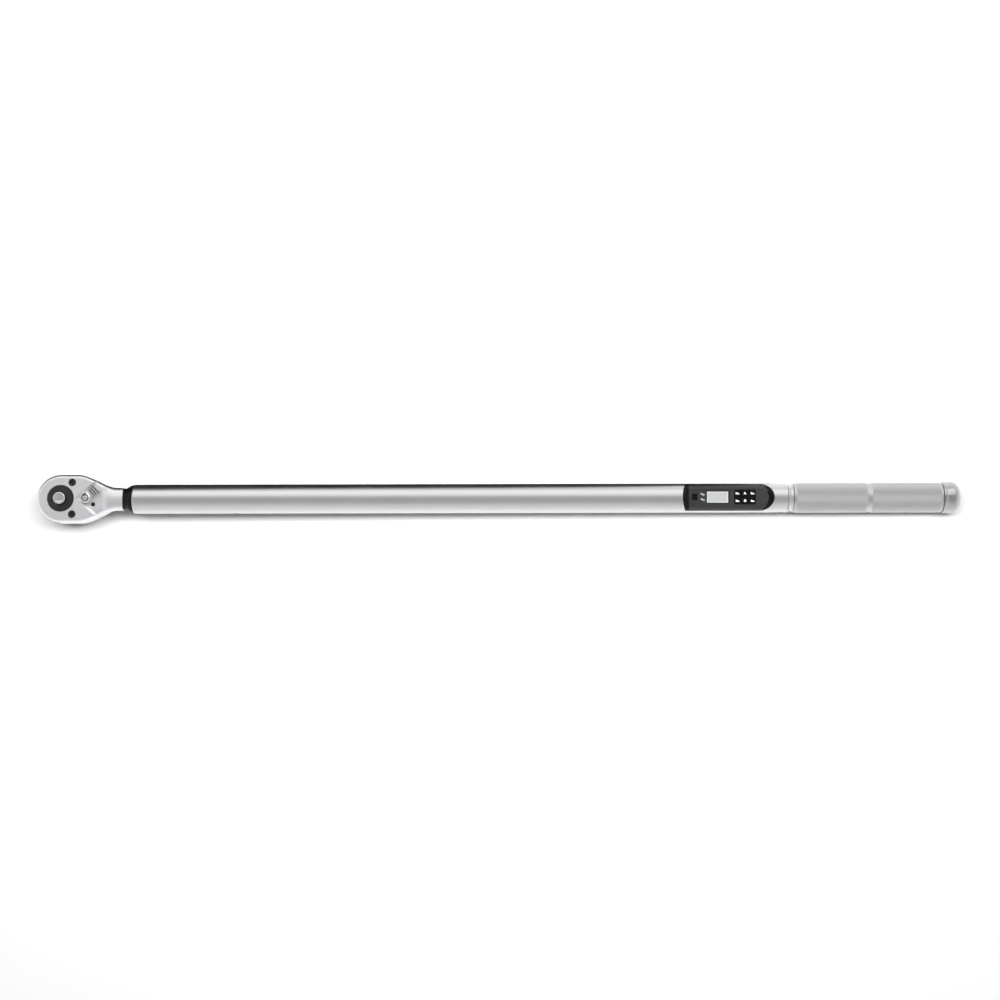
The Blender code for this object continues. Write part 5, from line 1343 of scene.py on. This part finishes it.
cap_sides, dome_start = 128, 1158.6 * mm
rings = rings_x(
    cap_sides, (0, 1150.3), (12.05, 1150.3), (12.05, 1137.1), (12.5, 1136.5), (16.0, 1136.5)
)
rings += thread_rings(1136.8 * mm, 1143.9 * mm, 17.0 * mm, 0.75 * mm, cap_sides)
rings += rings_x(
    cap_sides, (15.2, 1144.1), (15.2, 1146.3), (19.6, 1146.3), (20.1, 1146.5), (20.4, 1147.1),
    (20.5, 1147.8), (20.5, 1149.6), (20.1, 1149.9), (20.1, 1150.5), (20.5, 1150.8), (20.5, 1158.6),
)
for i in range(1, 19):
    t = math.radians(90) * i / 18
    radius = cap_r * max(math.cos(t), 0) ** 0.86  # a little fuller than an ellipse
    x = dome_start + (cap_end - dome_start) * math.sin(t) ** 0.94
    rings.append(ring_points(radius, x, cap_sides, (0, 0, axis_z), X))
cap = weld("end_cap", [p for ring in rings for p in ring], between_rings(rings, False))
fit(cap, "end_cap", cap_chrome)

# %% [markdown]
# ## Finishes on the inner pieces
#
# The solids that stay as the frame made them still get a proper finish each, by what they are
# made of.

# %% Finish what the frame made
finish_of = {
    "black_plastic": black_plastic,
    "black_wire": wire_sleeve,
    "plain_steel": ground_steel,
    "spring_steel": spring_wire,
    "bronze": bearing_bronze,
    "black_rubber": black_rubber,
    "circuit_green": board_finish,
    "white_plastic": white_plastic,
    "foil_amber": gauge_finish,
    "battery_sleeve_grey": battery_sleeve,
    "gold_contact": gold_plate,
}
for node, obj in frame["nodes"].items():
    if node in dressed:
        continue
    for place in obj.material_slots:
        place.material = finish_of[slot_of[node]]
print("replaced:", len(dressed), "kept:", len(frame["nodes"]) - len(dressed))

# %% [markdown]
# ## Studio
#
# The wrench lies on a white table, touching it with the drive square and the cap, so the table
# leans by one degree in the frame's terms. Light comes from long soft panels and a white room;
# steel is only as good as what it mirrors, so the room is darker overhead than at its sides.

# %% Table
def card(name, corners, finish):
    obj = weld(name, corners, [(0, 1, 2, 3)])
    wear(obj, finish)
    obj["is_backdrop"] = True
    return obj


def white_table():
    f = Finish("table_white")
    cloud = f.noise(f.spot, 1.5, 2.0)
    colour = f.blend(cloud, grey(0.9), grey(0.93))
    return f.done(base_color=colour, roughness=cloud * 0.1 + 0.75, specular_ior_level=0.1)


square_edge, cap_rest = 9.5 * mm, 1150 * mm  # where the wrench touches the table
lean = 20.5 * mm / (cap_rest - square_edge)


def table_height(x):
    return (x - square_edge) * lean - 0.1 * mm


reach = 6.0
ends = ((-reach, -reach), (reach, -reach), (reach, reach), (-reach, reach))
card("table", [(x, y, table_height(x)) for x, y in ends], white_table())
print("table leans", round(math.degrees(math.atan(lean)), 2), "degrees")

# %% Lights
def room_light(bands):
    """World light by the height of the direction it comes from, 0 at the horizon and 1 overhead."""
    world = bpy.data.worlds.new("white room")
    bpy.context.scene.world = world
    sky = Recipe(world)
    way = sky.add("ShaderNodeTexCoord", output="Generated")
    height = sky.add("ShaderNodeSeparateXYZ", None, {"Vector": way}, output=Z)
    level = sky.add("ShaderNodeValToRGB", {"stops": bands}, {"Fac": height})
    light = sky.add("ShaderNodeBackground", None, {"Color": level})
    sky.add("ShaderNodeOutputWorld", None, {"Surface": light})


def softbox(name, centre, size, power):
    """A soft panel, given in metres and watts, that faces the wrench's middle."""
    data = bpy.data.lights.new(name, "AREA")
    data.shape = "RECTANGLE"
    data.size, data.size_y = size
    data.energy = power
    lamp = bpy.data.objects.new(name, data)
    lamp.location = centre
    lamp.rotation_euler = (wrench_middle - Vector(centre)).to_track_quat("-Z", "Y").to_euler()
    lamp.visible_camera = False
    bpy.context.scene.collection.objects.link(lamp)
    return lamp


room_light([(0.0, 1.05), (0.5, 0.85), (0.94, 0.44), (1.0, 0.54)])
bpy.context.scene.world.cycles_visibility.diffuse = False
wrench_middle = Vector((0.57, 0, 0.04))
mirrored = softbox("side_panel", (0.57, 1.26, 1.6), (3.4, 1.7), 13)
mirrored.visible_diffuse = False
for name, centre, size, power in (
    ("top_panel", (0.57, 0.3, 2.1), (3.2, 0.6), 74),
    ("ceiling", (0.57, -0.2, 2.4), (3.0, 2.4), 14),
):
    softbox(name, centre, size, power).visible_glossy = False
print("lights set")

# %% [markdown]
# A black card lies on the table on the far side of the head. It gives the upper edges their dark
# line, as a studio does when a bright part would be lost on a white ground. The card narrows
# toward the handle, so the line fades, and its far edge is propped up. Only mirror reflections
# see it.

# %% Black card
def card_black():
    f = Finish("card_black")
    fibre = f.noise(f.spot, 300, 3.0)
    colour = f.blend(fibre, grey(0.002), grey(0.006))
    return f.done(base_color=colour, roughness=fibre * 0.1 + 0.85, specular_ior_level=0.0)


low_card = [(-0.15, 0.03), (0.95, 0.03), (0.25, 0.32), (-0.15, 0.32)]
rise = (0.4 * mm, 0.4 * mm, 110 * mm, 230 * mm)
corners = [(x, y, table_height(x) + up) for (x, y), up in zip(low_card, rise)]
dark = card("black_card", corners, card_black())
dark.visible_camera = dark.visible_diffuse = dark.visible_shadow = dark.visible_transmission = False
print("card set")

# %% [markdown]
# ## Camera
#
# The view is from above, leaning back five degrees, from a little over two metres away.

# %% Camera
eye_aim = Vector((0.570, -0.002, 0.041))
eye = eye_aim + Vector((0, -0.196, 2.241))
view = bpy.data.cameras.new("camera")
view.lens = 62.0
view.sensor_width = 36
camera = bpy.data.objects.new("camera", view)
camera.location = eye
roll = Matrix.Rotation(math.radians(-0.12), 3, "Z")
turn = (eye_aim - eye).to_track_quat("-Z", "Y").to_matrix() @ roll
camera.rotation_euler = turn.to_euler()
bpy.context.scene.collection.objects.link(camera)
bpy.context.scene.camera = camera
bpy.context.scene.view_settings.view_transform = "Standard"
print("camera", [round(v, 3) for v in eye])

# %% Sizes, and finish
bpy.context.view_layer.update()
low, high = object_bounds()
print("visual size", [round((b - a) / mm, 1) for a, b in zip(low, high)])
